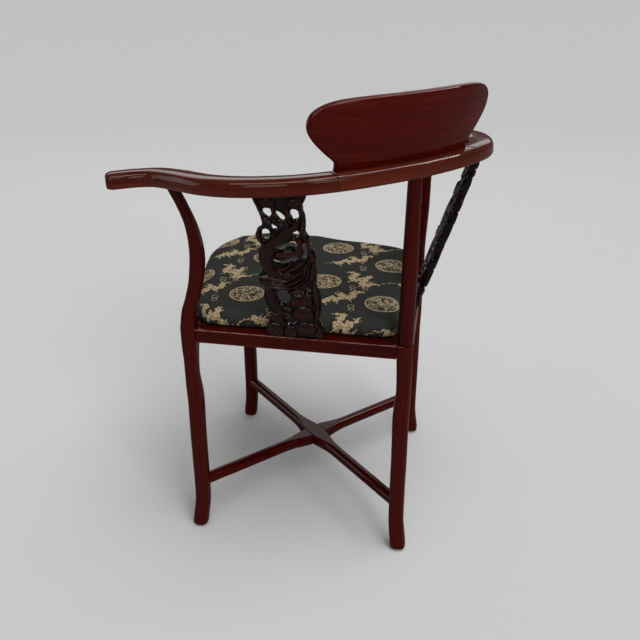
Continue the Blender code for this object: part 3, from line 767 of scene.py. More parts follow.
@dataclass(frozen=True)
class CarvedLacquer(Finish):
    """Near-black stained carving under gloss lacquer, with painted shade in its recesses and painted light
    that makes it redder where it is proud.
    """

    recess_shade: Colour = (0.0026, 0.0007, 0.0005)
    field_tone: Colour = (0.0125, 0.0022, 0.0016)
    proud: Colour = (0.038, 0.0058, 0.0040)
    mottles: Noise = Noise(55, 3)
    grain: Noise = Noise(520, 3, 0.0, (1, 1, 0.06))
    marks: Noise = Noise(170, 1)
    mottle_share: float = 0.5
    grain_share: float = 0.16
    field_rise: Pair = (0.20, 0.62)
    proud_rise: Pair = (0.66, 1.05)
    scale_cut_shade: float = 0.9
    grain_raise: float = 0.12
    mottle_raise: float = 0.3
    relief: float = 0.0010
    haze: Pair = (0.22, 0.38)
    coat: float = 0.32
    gloss: float = 0.06
    coat_ior: float = 1.40

    def mix(self, recipe: Recipe) -> Material:
        """Colour by height, with painted shade low and painted light high, fine grain, and painted shade in
        the cuts between the scales on the long body.

        Args:
            recipe: The material being mixed.

        Returns:
            The finished material.
        """
        place = recipe.place()
        mottle = recipe.noise(place, self.mottles)
        grain = recipe.noise(place, self.grain)
        tone = recipe.number("height") + (mottle - 0.5) * self.mottle_share + (grain - 0.5) * self.grain_share
        # Colour by height: painted shade in the recesses, painted light on the proud forms.
        colour = recipe.mix(tone.step(*self.field_rise), self.recess_shade, self.field_tone)
        colour = recipe.mix(tone.step(*self.proud_rise), colour, self.proud)
        # Painted shade in the cuts between the scales.
        colour = recipe.mix(recipe.number("scales") * self.scale_cut_shade, colour, self.recess_shade)
        marks = recipe.noise(place, self.marks)
        recipe.bump(grain * self.grain_raise + mottle * self.mottle_raise + marks, self.relief)
        return recipe.finish(base_color=colour, roughness=mottle.between(*self.haze), specular_ior_level=0.0,
                             coat_weight=self.coat, coat_roughness=self.gloss, coat_ior=self.coat_ior)


@dataclass(frozen=True)
class PlainWood(Finish):
    """Wood of the pieces under the cushion and inside the joints, streaked across the seat."""

    dark: Colour = (0.0130, 0.0014, 0.0010)
    light: Colour = (0.036, 0.0026, 0.0016)
    gloss: float = 0.05
    turn: Sequence[float] = (0, 0, math.radians(45))
    drawn: Colour = (1, 0.05, 1)
    streaks: Noise = Noise(180, 4, 0.5)
    rise: Pair = (0.3, 0.7)
    relief: float = 0.0001
    haze: Pair = (0.4, 0.6)

    def mix(self, recipe: Recipe) -> Material:
        """Long streaks with a dull sheen.

        Args:
            recipe: The material being mixed.

        Returns:
            The finished material.
        """
        streaks = recipe.noise(recipe.stretch(recipe.place(), self.drawn, self.turn), self.streaks)
        colour = recipe.mix(streaks.step(*self.rise), self.dark, self.light)
        recipe.bump(streaks, self.relief)
        return recipe.finish(base_color=colour, roughness=streaks.between(*self.haze),
                             specular_ior_level=self.gloss)


@dataclass(frozen=True)
class Nylon(Finish):
    """Off-white moulded glides, scuffed underneath."""

    clean: Colour = (0.62, 0.60, 0.54)
    scuffed: Colour = (0.30, 0.28, 0.24)
    scuffs: Noise = Noise(420, 4)
    rise: Pair = (0.50, 0.68)
    relief: float = 0.0001
    haze: Pair = (0.3, 0.6)

    def mix(self, recipe: Recipe) -> Material:
        """A fine mould texture with scuffs.

        Args:
            recipe: The material being mixed.

        Returns:
            The finished material.
        """
        scuffs = recipe.noise(recipe.place(), self.scuffs)
        colour = recipe.mix(scuffs.step(*self.rise), self.clean, self.scuffed)
        recipe.bump(scuffs, self.relief)
        return recipe.finish(base_color=colour, roughness=scuffs.between(*self.haze))


ROSEWOOD = Lacquer("rosewood_lacquer", "rosewood")
CREST_WOOD = Lacquer("crest_lacquer", "crest_rosewood", dark=(0.042, 0.0019, 0.0009),
                     body=(0.060, 0.0028, 0.0012), light=(0.092, 0.0070, 0.0024), figure=0.40, pores=0.40)
# A lighter, browner copy of the rosewood lacquer for the arm rails: painted sheen.
ARM_WOOD_PAINTED_SHEEN = Lacquer("arm_lacquer", "rosewood", dark=(0.040, 0.0050, 0.0024), body=(0.077, 0.0120, 0.0058),
                   light=(0.124, 0.0260, 0.0125))
CARVING = CarvedLacquer("carving_lacquer", "carved_rosewood")
BOARD = PlainWood("seat_board_wood", "seat_board")
DOWEL = PlainWood("dowel_wood", "dowel_beech", dark=(0.40, 0.25, 0.13), light=(0.56, 0.38, 0.22), gloss=0.3)
GLIDE = Nylon("glide_plastic", "glide_nylon")


# Legs, posts and seat frame

@dataclass
class Legs:
    """Four square legs with flared feet; the side legs run up as S-curved posts."""

    glide_h: float = 0.004
    flare: float = 0.0115
    foot_h: float = 0.125
    knee_h: float = 0.210
    knee_bow: float = 0.0018
    foot: Sequence[Knot] = (
        (0.000, 1.00, 0.830), (0.016, 0.97, 0.980), (0.064, 0.92, 1.045), (0.208, 0.66, 1.045),
        (0.360, 0.36, 1.030), (0.560, 0.16, 1.010), (1.000, 0.08, 1.010))
    knee: Sequence[Knot] = (
        (1.000, 0.28, 1.010), (0.648, -0.56, 1.025), (0.500, 0.00, 1.010), (0.333, 1.00, 0.900),
        (0.133, 0.56, 0.945))
    post_sweep: float = 0.0275
    post_lean: float = 0.0102
    post_curve: Sequence[Pair] = ((0.00, 0.00), (0.12, 0.10), (0.24, 0.48), (0.38, 0.83), (0.55, 1.00),
                                  (0.72, 0.84), (0.86, 0.40), (1.00, -0.21))
    post_sides: Sequence[Pair] = ((0.00, 1.000), (0.12, 0.895), (0.30, 0.885), (0.48, 0.890), (0.65, 0.775),
                                  (0.82, 0.640), (1.00, 0.622))
    post_steps: int = 44
    around: int = 64
    shank_gain: float = 1.07
    shank_round: float = 2.9
    head_square: float = 11.0
    post_round: float = 5.0
    top_edge: float = 0.0036
    stop_cut: float = 0.0105
    stop_drop: float = 0.082
    blend_drop: float = 0.040
    blend_h: float = 0.030
    post_blend: float = 0.10

    def stations(self) -> list[Vector]:
        """Height, outward shift and side of a leg, from the foot to the seat's top."""
        side = PLAN.head_side
        under = PLAN.seat_top - PLAN.rail_h
        knots = [(self.glide_h + self.foot_h * rise, self.flare * out, side * across)
                 for rise, out, across in self.foot]
        knots += [(under - self.knee_h * depth, self.knee_bow * out, side * across)
                  for depth, out, across in self.knee]
        knots += [(under, 0.0, side), (PLAN.seat_top, 0.0, side)]
        return Line(knots, 4).points

    def leg_rings(self, corner: Corner) -> list[tuple[Matrix, float]]:
        """The section's places up a leg.

        Args:
            corner: The corner that the leg stands on.

        Returns:
            The places, each with its squareness.
        """
        under = PLAN.seat_top - PLAN.rail_h
        rings = []
        for height, shift, side in self.stations():
            head = min(max((height - under + self.blend_drop) / self.blend_h, 0.0), 1.0)
            gain = 1 + (self.shank_gain - 1) * (1 - head)
            middle = corner.out() * (PLAN.leg_out + shift) + UP * height
            square = self.shank_round + (self.head_square - self.shank_round) * head ** 2
            rings.append((place_on(middle, OUT, ALONG, side * gain, side * gain), square))
        return rings

    def post_rings(self) -> list[tuple[Matrix, float]]:
        """The section's places up the left post into the arm rail, each with its squareness."""
        curve, sides = Line(self.post_curve), Line(self.post_sides)
        rise = PLAN.arm_under(0) + PLAN.housing - PLAN.seat_top
        rings = []
        for index in range(1, self.post_steps + 1):
            share = index / self.post_steps
            middle = Vector((PLAN.leg_out, 0, PLAN.seat_top + share * rise))
            middle += ALONG * (self.post_sweep * curve.at_first(share)[1]) + OUT * (share * self.post_lean)
            side = sides.at_first(share)[1] * PLAN.head_side
            head = max(1 - share / self.post_blend, 0.0)
            square = self.post_round + (self.head_square - self.post_round) * head
            rings.append((place_on(middle, OUT, ALONG, side, side), square))
        return rings

    def shape(self, rings: Sequence[tuple[Matrix, float]]) -> BMesh:
        """Draw a leg through its rings, each between round and square.

        Args:
            rings: Places of the section, each with its squareness.

        Returns:
            The leg.
        """
        bm = Bar.round(0.5, self.around, 0.5).draw([place for place, square in rings])
        bm.verts.ensure_lookup_table()
        for index, vert in enumerate(bm.verts):
            place, square = rings[index // self.around]
            local = place.inverted() @ vert.co
            turn = math.atan2(local.y, local.x)
            size = (abs(math.cos(turn)) ** square + abs(math.sin(turn)) ** square) ** (-1 / square) / 2
            vert.co = place @ Vector((size * math.cos(turn), size * math.sin(turn), 0))
        return bm

    def build(self) -> None:
        """Make the four legs."""
        for side in Side:
            bm = self.shape(self.leg_rings(Corner.LEFT) + self.post_rings())
            Piece(f"{side.name.lower()}_leg", ROSEWOOD).make(bm, side.mirror())
        for corner in (Corner.FRONT, Corner.BACK):
            bm = self.shape(self.leg_rings(corner))
            self.ease_top(bm, corner)
            Piece(f"{corner.name.lower()}_leg", ROSEWOOD).make(bm)

    def ease_top(self, bm: BMesh, corner: Corner) -> None:
        """Cut the stopped chamfer on the outer corner and ease the top edges.

        Args:
            bm: The leg.
            corner: The corner that it stands on.
        """
        reach = PLAN.leg_out + PLAN.head_side / math.sqrt(2)
        out = corner.out()
        point = out * (reach - self.stop_cut) + UP * PLAN.seat_top
        slope = UP * self.stop_cut + out * self.stop_drop
        saw(bm, point, -slope.normalized(), True)
        top = [edge for edge in bm.edges if all(vert.co.z > PLAN.seat_top - LEVEL for vert in edge.verts)]
        ease(bm, top, self.top_edge, 3)


@dataclass
class BackPost:
    """The turned post on the back leg."""

    radius: float = 0.0136
    foot_round: float = 0.0046
    foot_steps: int = 4
    profile: Sequence[Pair] = ((0.10, 1.000), (0.50, 0.955), (0.75, 0.895), (0.95, 0.840), (1.00, 0.780))
    steps: int = 64

    def build(self) -> None:
        """Spin the post's profile."""
        bm = bmesh.new()
        height = PLAN.arm_under(PLAN.leg_out) + 2 * PLAN.housing - PLAN.seat_top
        outline = [(0.0, PLAN.fit), (self.radius - self.foot_round, PLAN.fit)]
        for index in range(1, self.foot_steps + 1):
            angle = RIGHT_ANGLE * index / self.foot_steps
            outline.append((self.radius - self.foot_round * (1 - math.sin(angle)),
                            PLAN.fit + self.foot_round * (1 - math.cos(angle))))
        outline += [(self.radius * across, height * share) for share, across in self.profile]
        outline.append((0.0, height))
        knots = [bm.verts.new((radius, 0, rise)) for radius, rise in outline]
        edges = [bm.edges.new(pair) for pair in zip(knots, knots[1:])]
        bmesh.ops.spin(bm, geom=knots + edges, cent=(0, 0, 0), axis=(0, 0, 1), angle=math.tau,
                       steps=self.steps, use_merge=True)
        bmesh.ops.remove_doubles(bm, verts=bm.verts, dist=SAME)
        bmesh.ops.recalc_face_normals(bm, faces=bm.faces)
        grain_from(bm, lambda point: point)
        place = Matrix.Translation(Corner.BACK.out() * PLAN.leg_out + UP * PLAN.seat_top)
        Piece("back_post", ROSEWOOD).make(bm, place)


@dataclass
class SeatFrame:
    """Four seat rails, rebated for the seat board."""

    edge: float = 0.0018
    lap: float = 0.006
    board_drop: float = 0.0102
    seam: float = 0.0006
    seam_share: float = 0.96
    names: Sequence[str] = ("rear_left", "rear_right", "front_right", "front_left")

    def build(self) -> None:
        """Draw the rails between the legs."""
        outer = PLAN.rail_outer()
        inner = outer - PLAN.rail_w
        top, under = PLAN.seat_top, PLAN.seat_top - PLAN.rail_h
        reach = PLAN.leg_out / math.sqrt(2) - PLAN.head_side / 2 - PLAN.fit
        ledge = inner + self.lap
        drop = top - self.board_drop
        corners = ((outer, top), (ledge, top), (ledge, drop), (inner, drop), (inner, under), (outer, under))
        middle = Vector(((outer + inner) / 2, (top + under) / 2))
        section = [(x - middle.x, y - middle.y) for x, y in corners]
        radii = (self.edge, self.edge / 3, 0, self.edge / 3, self.edge, self.edge)
        ends = ((reach, self.seam_share), (reach - self.seam, 1.0), (0.0, 1.0), (self.seam - reach, 1.0),
                (-reach, self.seam_share))
        places = [place_on(Vector((middle.x, distance, middle.y)), Vector((1, 0, 0)), UP, share, share)
                  for distance, share in ends]
        for turns, name in enumerate(self.names):
            turn = Matrix.Rotation(math.radians(45) + turns * RIGHT_ANGLE, 4, "Z")
            Piece(f"seat_rail_{name}", ROSEWOOD).make(Bar(section, radii, 4).draw(places), turn)


@dataclass
class Stretcher:
    """The crossed stretcher: two bars, round at the legs and flat at the half-lap."""

    height: float = 0.1050
    end_r: float = 0.0118
    block_w: float = 0.032
    block_h: float = 0.0235
    block_l: float = 0.040
    block_edge: float = 0.0008
    tongue_l: float = 0.058
    tongue_steps: int = 14
    bar_steps: int = 5
    reach: float = 0.2695
    around: int = 80
    tongue: Sequence[Pair] = ((0.0, 0.0), (0.2, 0.07), (0.45, 0.26), (0.75, 0.66), (1.0, 1.0))

    def lap(self) -> float:
        """Half the length over which the bars are halved."""
        return self.block_w / 2 + PLAN.fit

    def shaped(self, point: Vector, share: float) -> Pair:
        """A point of the round section moved towards the flat one.

        Args:
            point: A point on the round.
            share: Share of the way to the flat section.

        Returns:
            The moved point.
        """
        angle = math.atan2(point.y, point.x)
        flat = min(self.block_w / 2 / max(abs(math.cos(angle)), SAME),
                   self.block_h / 2 / max(abs(math.sin(angle)), SAME))
        corner = math.hypot(self.block_w, self.block_h) / 2 - self.block_edge
        radius = min(self.end_r + (corner - self.end_r) * share, flat)
        return radius * math.cos(angle), radius * math.sin(angle)

    def stations(self) -> list[float]:
        """Distances along a bar where its section is drawn."""
        lap = self.lap()
        start = self.block_l / 2 + self.tongue_l
        half = [0.0, lap * 0.5, lap - LEVEL, lap + LEVEL]
        for low, high, steps in ((lap, start, self.tongue_steps), (start, self.reach, self.bar_steps)):
            half += [low + (high - low) * (index / steps) for index in range(1, steps + 1)]
        return [-distance for distance in reversed(half[1:])] + half

    def build(self) -> None:
        """Make both bars."""
        tongue = Line(self.tongue)
        places = [Matrix.Translation((0, 0, distance)) for distance in self.stations()]
        lay = place_on(UP * self.height, Vector((0, 1, 0)), UP)
        for node, turns, lowered in (("stretcher_side", 0, True), ("stretcher_front_back", 1, False)):
            bm = Bar.round(self.end_r, self.around).draw(places)
            for vert in bm.verts:
                distance = abs(vert.co.z)
                travelled = 1 - (distance - self.block_l / 2) / self.tongue_l
                share = tongue.at_first(min(max(travelled, 0.0), 1.0))[1]
                x, y = self.shaped(vert.co, share)
                if distance < self.lap():
                    y = min(y, -PLAN.fit / 2) if lowered else max(y, PLAN.fit / 2)
                vert.co = (x, y, vert.co.z)
            turn = Matrix.Rotation(turns * RIGHT_ANGLE, 4, "Z")
            Piece(node, ROSEWOOD).make(bm, turn @ lay)


# Arm rail and crest

@dataclass
class ArmRail:
    """The horseshoe arm rail in three lengths."""

    top_edge: float = 0.0115
    low_edge: float = 0.005
    seam_x: float = 0.136
    seam_v: float = 0.0005
    seam_share: float = 0.975
    tip_round: float = 0.014
    tip_scale: float = 0.56
    tip_power: float = 0.8
    tip_drop: float = 0.16
    feel: float = 0.004
    steps: int = 60
    tip_steps: int = 8
    back_steps: int = 24
    line: Sequence[Pair] = ((0.0000, 0.9843), (0.3652, 0.9386), (0.6574, 0.8382), (0.8711, 0.6465),
                            (0.9898, 0.4127), (1.0336, 0.1096), (1.0847, -0.0840), (1.2016, -0.1863),
                            (1.3495, -0.2392))

    def path(self) -> Line:
        """The centre line of the left half, in the rail's plane."""
        return Line([(PLAN.leg_out * x, PLAN.leg_out * y) for x, y in self.line], 16)

    def place(self, path: Line, length: float, share: float = 1.0, drop: float = 0.0) -> Matrix:
        """The section's place at a length along the left half.

        Args:
            path: The centre line.
            length: Distance from the middle of the back.
            share: Share of the full section.
            drop: How far the section's middle comes down.

        Returns:
            The place, in the rail's plane.
        """
        point = path.at_length(length)
        before, after = path.at_length(max(length - self.feel, 0.0)), path.at_length(length + self.feel)
        tangent = (after - before).normalized()
        across = Vector((-tangent.y, tangent.x, 0))
        return place_on(Vector((point.x, point.y, PLAN.arm_t / 2 - drop)), across, UP, share, share)

    def section(self) -> Bar:
        """The rail's section."""
        return Bar.square(PLAN.arm_w, PLAN.arm_t, (self.top_edge, self.low_edge), 8)

    def build(self) -> None:
        """Make the two side lengths and the back length."""
        path = self.path()
        seam = path.length_at_first(self.seam_x)
        start, stop = seam + PLAN.fit / 2, seam - PLAN.fit / 2
        tip = path.lengths[-1] - self.tip_round
        for side in Side:
            places = [self.place(path, start, self.seam_share), self.place(path, start + self.seam_v)]
            places += [self.place(path, start + (tip - start) * index / self.steps)
                       for index in range(1, self.steps + 1)]
            for index in range(1, self.tip_steps + 1):
                angle = RIGHT_ANGLE * index / self.tip_steps
                share = self.tip_scale + (1 - self.tip_scale) * math.cos(angle) ** self.tip_power
                drop = (1 - share) * PLAN.arm_t * self.tip_drop
                places.append(self.place(path, tip + self.tip_round * math.sin(angle), share, drop))
            bm = self.section().draw(places)
            Piece(f"arm_{side.name.lower()}", ARM_WOOD_PAINTED_SHEEN).make(bm, side.mirror() @ PLAN.arm_place())
        half = [self.place(path, seam * index / self.back_steps) for index in range(self.back_steps)]
        half += [self.place(path, stop - self.seam_v), self.place(path, stop, self.seam_share)]
        turned = Matrix.Diagonal((1, 1, -1, 1))
        other = [Side.RIGHT.mirror() @ place @ turned for place in reversed(half[1:])]
        Piece("arm_back", ARM_WOOD_PAINTED_SHEEN).make(self.section().draw(other + half), PLAN.arm_place())


@dataclass
class Crest:
    """The bowed crest board on the arm rail."""

    thickness: float = 0.014
    edge: float = 0.0050
    bow_r: float = 0.440
    rear_y: float = 0.2685
    lean: float = math.radians(10.8)
    bends: int = 44
    outline: Sequence[Pair] = (
        (0.1360, -0.0200), (0.1360, 0.0020), (0.1395, 0.0080), (0.1480, 0.0150), (0.1600, 0.0250),
        (0.1735, 0.0380), (0.1825, 0.0510), (0.1845, 0.0635), (0.1810, 0.0755), (0.1710, 0.0855),
        (0.1535, 0.0940), (0.1275, 0.1000), (0.0800, 0.1045), (0.0300, 0.1063))

    def build(self) -> None:
        """Saw the board out, round its rim, bend it and fit it to the rail."""
        bm = bmesh.new()
        half = Line(self.outline, 5).points
        rim = [bm.verts.new((x, y, -self.thickness / 2)) for x, y in half]
        rim += [bm.verts.new((-x, y, -self.thickness / 2)) for x, y in reversed(half)]
        face = bm.faces.new(rim)
        raised = bmesh.ops.extrude_face_region(bm, geom=[face])
        lifted = [item for item in raised["geom"] if isinstance(item, bmesh.types.BMVert)]
        bmesh.ops.translate(bm, verts=lifted, vec=(0, 0, self.thickness))
        bmesh.ops.recalc_face_normals(bm, faces=bm.faces)
        edges = [edge for edge in bm.edges if abs(edge.verts[0].co.z - edge.verts[1].co.z) < SAME]
        ease(bm, edges, self.edge, 5)
        widest = max(x for x, height in self.outline)
        for index in range(1, self.bends):
            saw(bm, Vector((widest * (2 * index / self.bends - 1), 0, 0)), Vector((1, 0, 0)))
        grain_from(bm, lambda point: (point.z, point.y, point.x))
        for vert in bm.verts:
            angle = vert.co.x / self.bow_r
            radius = self.bow_r - self.thickness / 2 + vert.co.z
            vert.co = (radius * math.sin(angle), radius * math.cos(angle) - self.bow_r, vert.co.y)
        height = PLAN.arm_under(self.rear_y) + PLAN.arm_t / math.cos(PLAN.arm_tilt)
        bm.transform(Matrix.Translation((0, self.rear_y, height)) @ Matrix.Rotation(-self.lean, 4, "X"))
        top = PLAN.arm_place()
        saw(bm, top @ Vector((0, 0, PLAN.arm_t + PLAN.fit)), top.to_3x3() @ UP, True)
        bmesh.ops.recalc_face_normals(bm, faces=bm.faces)
        Piece("crest_board", CREST_WOOD).make(bm)


# Carved splats

@dataclass(frozen=True)
class Ridge:
    """A carved ridge, in millimetres: its line on the splat with its half width, and its height."""

    knots: Sequence[Knot]
    proud: float = 8.4

    def line(self, stretch: float) -> list[Vector]:
        """The ridge's line in metres, stretched upwards."""
        return [Vector((x, y * stretch, half)) * MM for x, y, half in Line(self.knots, 6).points]


@dataclass(frozen=True)
class Cloud:
    """A domed cloud with a spiral cut into it, in millimetres and degrees."""

    middle: Pair
    half: Pair
    turns: float = 1.75
    start: float = 200.0
    proud: ClassVar[float] = 8.6
    steps: ClassVar[int] = 14
    rim: ClassVar[float] = 0.80
    eye: ClassVar[float] = 0.14

    def spiral(self, stretch: float) -> list[Vector]:
        """The line of the spiral, from the rim to the eye.

        Args:
            stretch: How far the drawing is stretched upwards.

        Returns:
            Its points, in metres.
        """
        count = int(abs(self.turns) * self.steps)
        points = []
        for index in range(count + 1):
            share = index / count
            angle = math.radians(self.start) + math.tau * self.turns * share
            size = self.rim + (self.eye - self.rim) * share
            x = self.middle[0] + self.half[0] * size * math.cos(angle)
            y = self.middle[1] + self.half[1] * size * math.sin(angle)
            points.append(Vector((x, y * stretch, 0)) * MM)
        return points


class Relief:
    """Heights of a carving over its points, cut from the back forms to the front ones."""

    floor = 0.0030
    moat = 0.0014
    ridge_shoulder = 0.7
    cloud_shoulder = 0.45
    spiral_depth = 0.0019
    spiral_half = 0.0013

    def __init__(self, across: np.ndarray, up: np.ndarray, ground: float) -> None:
        """Start with an even ground.

        Args:
            across: Place of each point across the splat.
            up: Place of each point up the splat.
            ground: Height of the ground.
        """
        self.across = across
        self.up = up
        self.heights = np.full(len(across), ground)

    def nearest(self, line: Sequence[Vector]) -> tuple[np.ndarray, np.ndarray, np.ndarray, np.ndarray]:
        """Distance from a line, its half width there, the length along it and the side of it.

        Args:
            line: Points with half widths as their third numbers.

        Returns:
            The four arrays.
        """
        gap = np.full(len(self.across), np.inf)
        half, along, beside = np.ones_like(gap), np.zeros_like(gap), np.zeros_like(gap)
        run = 0.0
        for before, after in zip(line, line[1:]):
            way = (after - before).xy
            length = max(way.length, SAME)
            x, y = self.across - before.x, self.up - before.y
            share = np.clip((x * way.x + y * way.y) / length ** 2, 0.0, 1.0)
            away = np.hypot(x - share * way.x, y - share * way.y)
            closer = away < gap
            gap = np.where(closer, away, gap)
            half = np.where(closer, before.z + share * (after.z - before.z), half)
            along = np.where(closer, run + share * length, along)
            beside = np.where(closer, (way.x * y - way.y * x) / length, beside)
            run += length
        return gap, half, along, beside

    def raise_form(self, gap: np.ndarray, proud: float, fullness: float, inside: np.ndarray) -> None:
        """Cut one form free of what lies behind it.

        Args:
            gap: Distance outside the form.
            proud: Its height.
            fullness: How square its shoulders are; lower is squarer.
            inside: 0 at its rim to 1 at its ridge.
        """
        trench = (gap >= 0) & (gap < self.moat)
        self.heights = np.where(trench, np.minimum(self.heights, self.floor), self.heights)
        self.heights = np.where(gap < 0, self.floor + (proud - self.floor) * inside ** fullness, self.heights)

    def ridge(self, ridge: Ridge, stretch: float) -> tuple[np.ndarray, np.ndarray, np.ndarray]:
        """Raise a ridge.

        Args:
            ridge: The ridge.
            stretch: How far the drawing is stretched upwards.

        Returns:
            The length along it, the side of it and the share of the way to its ridge line.
        """
        gap, half, along, beside = self.nearest(ridge.line(stretch))
        inside = np.sqrt(np.clip(1 - (gap / np.maximum(half, LEVEL)) ** 2, 0.0, 1.0))
        self.raise_form(gap - half, ridge.proud * MM, self.ridge_shoulder, inside)
        return along, beside, inside

    def cloud(self, cloud: Cloud, stretch: float) -> None:
        """Raise a cloud and cut its spiral.

        Args:
            cloud: The cloud.
            stretch: How far the drawing is stretched upwards.
        """
        wide, high = cloud.half[0] * MM, cloud.half[1] * MM
        x = (self.across - cloud.middle[0] * MM) / wide
        y = (self.up / stretch - cloud.middle[1] * MM) / high
        out = np.hypot(x, y)
        inside = np.sqrt(np.clip(1 - out ** 2, 0.0, 1.0))
        self.raise_form((out - 1) * min(wide, high), cloud.proud * MM, self.cloud_shoulder, inside)
        gap = self.nearest(cloud.spiral(stretch))[0]
        self.heights -= self.spiral_depth * np.clip(1 - (gap / self.spiral_half) ** 2, 0.0, 1.0)


@dataclass
class Splats:
    """Two pierced splats carved with a scaled dragon among clouds; their drawing is in millimetres."""

    thickness: float = 0.018
    thinnest: float = 0.0024
    ground: float = 0.0046
    foot_out: float = 0.0047
    head_out: float = 1.0588
    drawn: float = 298.0
    spare: float = 4.0
    voxel: float = 0.00100
    smoothing: float = 0.4
    scale_pitch: float = 0.0046
    scale_depth: float = 0.0012
    scale_r: float = 0.26
    scale_start: float = 0.25
    scale_soft: float = 0.2
    rim_round: float = 0.0042
    rim_share: float = 0.74
    left_edge: Sequence[Pair] = (
        (-50, 0), (-48, 18), (-40, 37), (-35, 52), (-41, 75), (-44, 96), (-40, 114), (-48, 123), (-49, 136),
        (-40, 154), (-44, 173), (-43, 189), (-37, 206), (-43, 216), (-42, 228), (-32, 240), (-31, 250),
        (-36, 272), (-40, 291))
    right_edge: Sequence[Pair] = (
        (41, 297), (34, 279), (37, 260), (36.5, 239), (35, 230), (41, 216), (43, 200), (49, 185), (47, 168),
        (48, 147), (46, 120), (52, 100), (51.5, 75), (49, 54), (44, 43), (52, 27), (55, 13), (51, 0))
    openings: Sequence[Sequence[Pair]] = (
        ((-27, 271), (-15, 272), (-15, 262), (-22, 254)), ((-6, 269), (0, 267), (6, 255), (0, 250)),
        ((17, 273), (25, 273), (27, 258), (21, 252)), ((-14, 245), (-8, 242), (-12, 230)),
        ((-26, 235), (-20, 224), (-30, 211), (-34, 220)), ((21, 234), (26, 228), (17, 220)),
        ((-17, 196), (0, 207), (20, 212), (20, 201), (6, 199)),
        ((-23, 174), (-10, 172), (21, 182), (3, 168), (-17, 165)),
        ((32, 210), (36, 200), (34, 183), (26, 176), (30, 191)),
        ((-16, 109), (-5, 110), (-4, 79), (-17, 77)), ((29, 118), (37, 113), (32, 105)),
        ((-12, 47), (0, 46), (8, 31), (-9, 30)))
    behind: Sequence[Ridge] = (
        Ridge(((-38.5, 292, 3.4), (-31.5, 274, 3.2), (-27, 256, 3.4), (-18, 247, 3), (-10, 248, 2))),
        Ridge(((-12, 283, 3), (-10.5, 264, 3.4), (-6, 250, 3.4), (4, 243, 2.6))),
        Ridge(((9.5, 284, 3), (11.5, 268, 3.6), (13.5, 253, 3.4), (21, 244, 2.4))), Ridge(((37, 288, 3.4),
        (31, 270, 3.4), (33, 252, 3.6), (31, 238, 3.6), (37, 221, 4), (40, 205, 3.4), (45, 190, 2.6))),
        Ridge(((40, 198, 2.2), (44, 184, 4.4), (40.5, 171, 5.2), (42, 158, 3))),
        Ridge(((45, 174, 2), (43, 156, 4.6), (39, 141, 5.4), (40, 124, 3.2))),
        Ridge(((43, 134, 2), (44, 113, 4.4), (46, 97, 5.4), (44.5, 81, 4), (39, 72, 2))),
        Ridge(((47, 84, 2), (46, 67, 4.6), (43, 53, 5), (40, 45, 2.4))),
        Ridge(((-12.5, 249, 2), (-8.5, 237, 3.4), (-15.5, 224, 3))),
        Ridge(((-34.5, 248, 2.6), (-39.5, 231, 4), (-37.5, 214, 4.2), (-29.5, 206, 2.4))),
        Ridge(((0, 153, 2.4), (14, 161, 4.2), (27, 172, 3.6), (35, 184, 1.4))),
        Ridge(((4, 147, 2.4), (20, 154, 4.2), (32, 166, 3.4), (38, 178, 1.2))),
        Ridge(((-16, 156, 3), (-4, 159, 4.4), (6, 166, 2))),
        Ridge(((20, 133, 2.4), (30, 142, 4.2), (36, 153, 1.6))),
        Ridge(((12, 119, 2.4), (26, 126, 4), (36, 137, 1.6))),
        Ridge(((-2, 106, 2.2), (10, 109, 4.4), (24, 107, 4.4), (36, 101, 2))),
        Ridge(((-38, 67, 2.4), (-36, 57, 3.6), (-28, 56.5, 2))),
        Ridge(((-10, 70, 2), (-2, 66, 4), (4, 56, 3), (2, 47, 1.4))))
    folds: Sequence[Ridge] = (
        Ridge(((-40, 115.5, 2), (-20, 115, 3.4), (4, 117.5, 3.4), (22, 129, 2.6), (34, 141, 1)), 8),
        Ridge(((-46.5, 129, 2.2), (-26, 122.5, 3.6), (-4, 124, 3.8), (14, 133, 3.4), (30, 149, 1.4)), 8.8),
        Ridge(((-47, 135.5, 2.2), (-30, 137, 4), (-12, 130.5, 3.6), (3, 135.5, 3.4), (20, 145.5, 2.8),
        (34, 162, 1.2)), 9))
    band: Ridge = Ridge(((-39, 112, 5), (-32, 102, 9.4), (-30, 86, 10.8), (-26, 71, 9.6), (-15, 58, 6.6),
        (-2, 52, 2.4)), 8.6)
    coil: Ridge = Ridge(((6, 252, 3.6), (18, 230, 6), (26.5, 208, 6.6), (18, 190.5, 7.8), (0, 187, 7.6),
        (-18, 187, 3)), 8.4)
    dragon: Ridge = Ridge(((30, 263, 2.4), (22, 246, 6.2), (8, 228, 9), (-10, 213, 10.8),
        (-26.5, 194, 11.8), (-32.5, 173, 11.8), (-29, 154.5, 10.4), (-14, 143.5, 7.6), (4, 141.5, 5.6),
        (20, 150, 3.4), (30, 160, 1.4)), 9)
    clouds: Sequence[Cloud] = (
        Cloud((-19.5, 285.5), (12.5, 8.8), 1.5, 20), Cloud((23.5, 286.5), (12.5, 8.8), -1.5, 160),
        Cloud((17.5, 89), (22, 12.8)), Cloud((21, 59), (19.5, 15)), Cloud((23, 24), (20.5, 15)),
        Cloud((45, 37), (7.2, 8.5), 1.2, 90), Cloud((46.5, 12), (7.5, 12), 1.2, 60),
        Cloud((-26.5, 46), (12.5, 10.5), 1.2, 250), Cloud((-5, 13), (12, 15), -1.4, 300),
        Cloud((-32, 15), (16, 17.5), 1.5, 100))

    def frame_place(self) -> tuple[Matrix, float]:
        """The left splat's frame, with X towards the back post and Y up its face, and its length."""
        base = OUT * (PLAN.rail_outer() - PLAN.rail_w / 2 + self.foot_out) + UP * PLAN.seat_top
        head = OUT * (PLAN.leg_out * self.head_out)
        rise = head + UP * PLAN.arm_under(head.y) - base
        return place_on(base, ALONG, rise.normalized()), rise.length

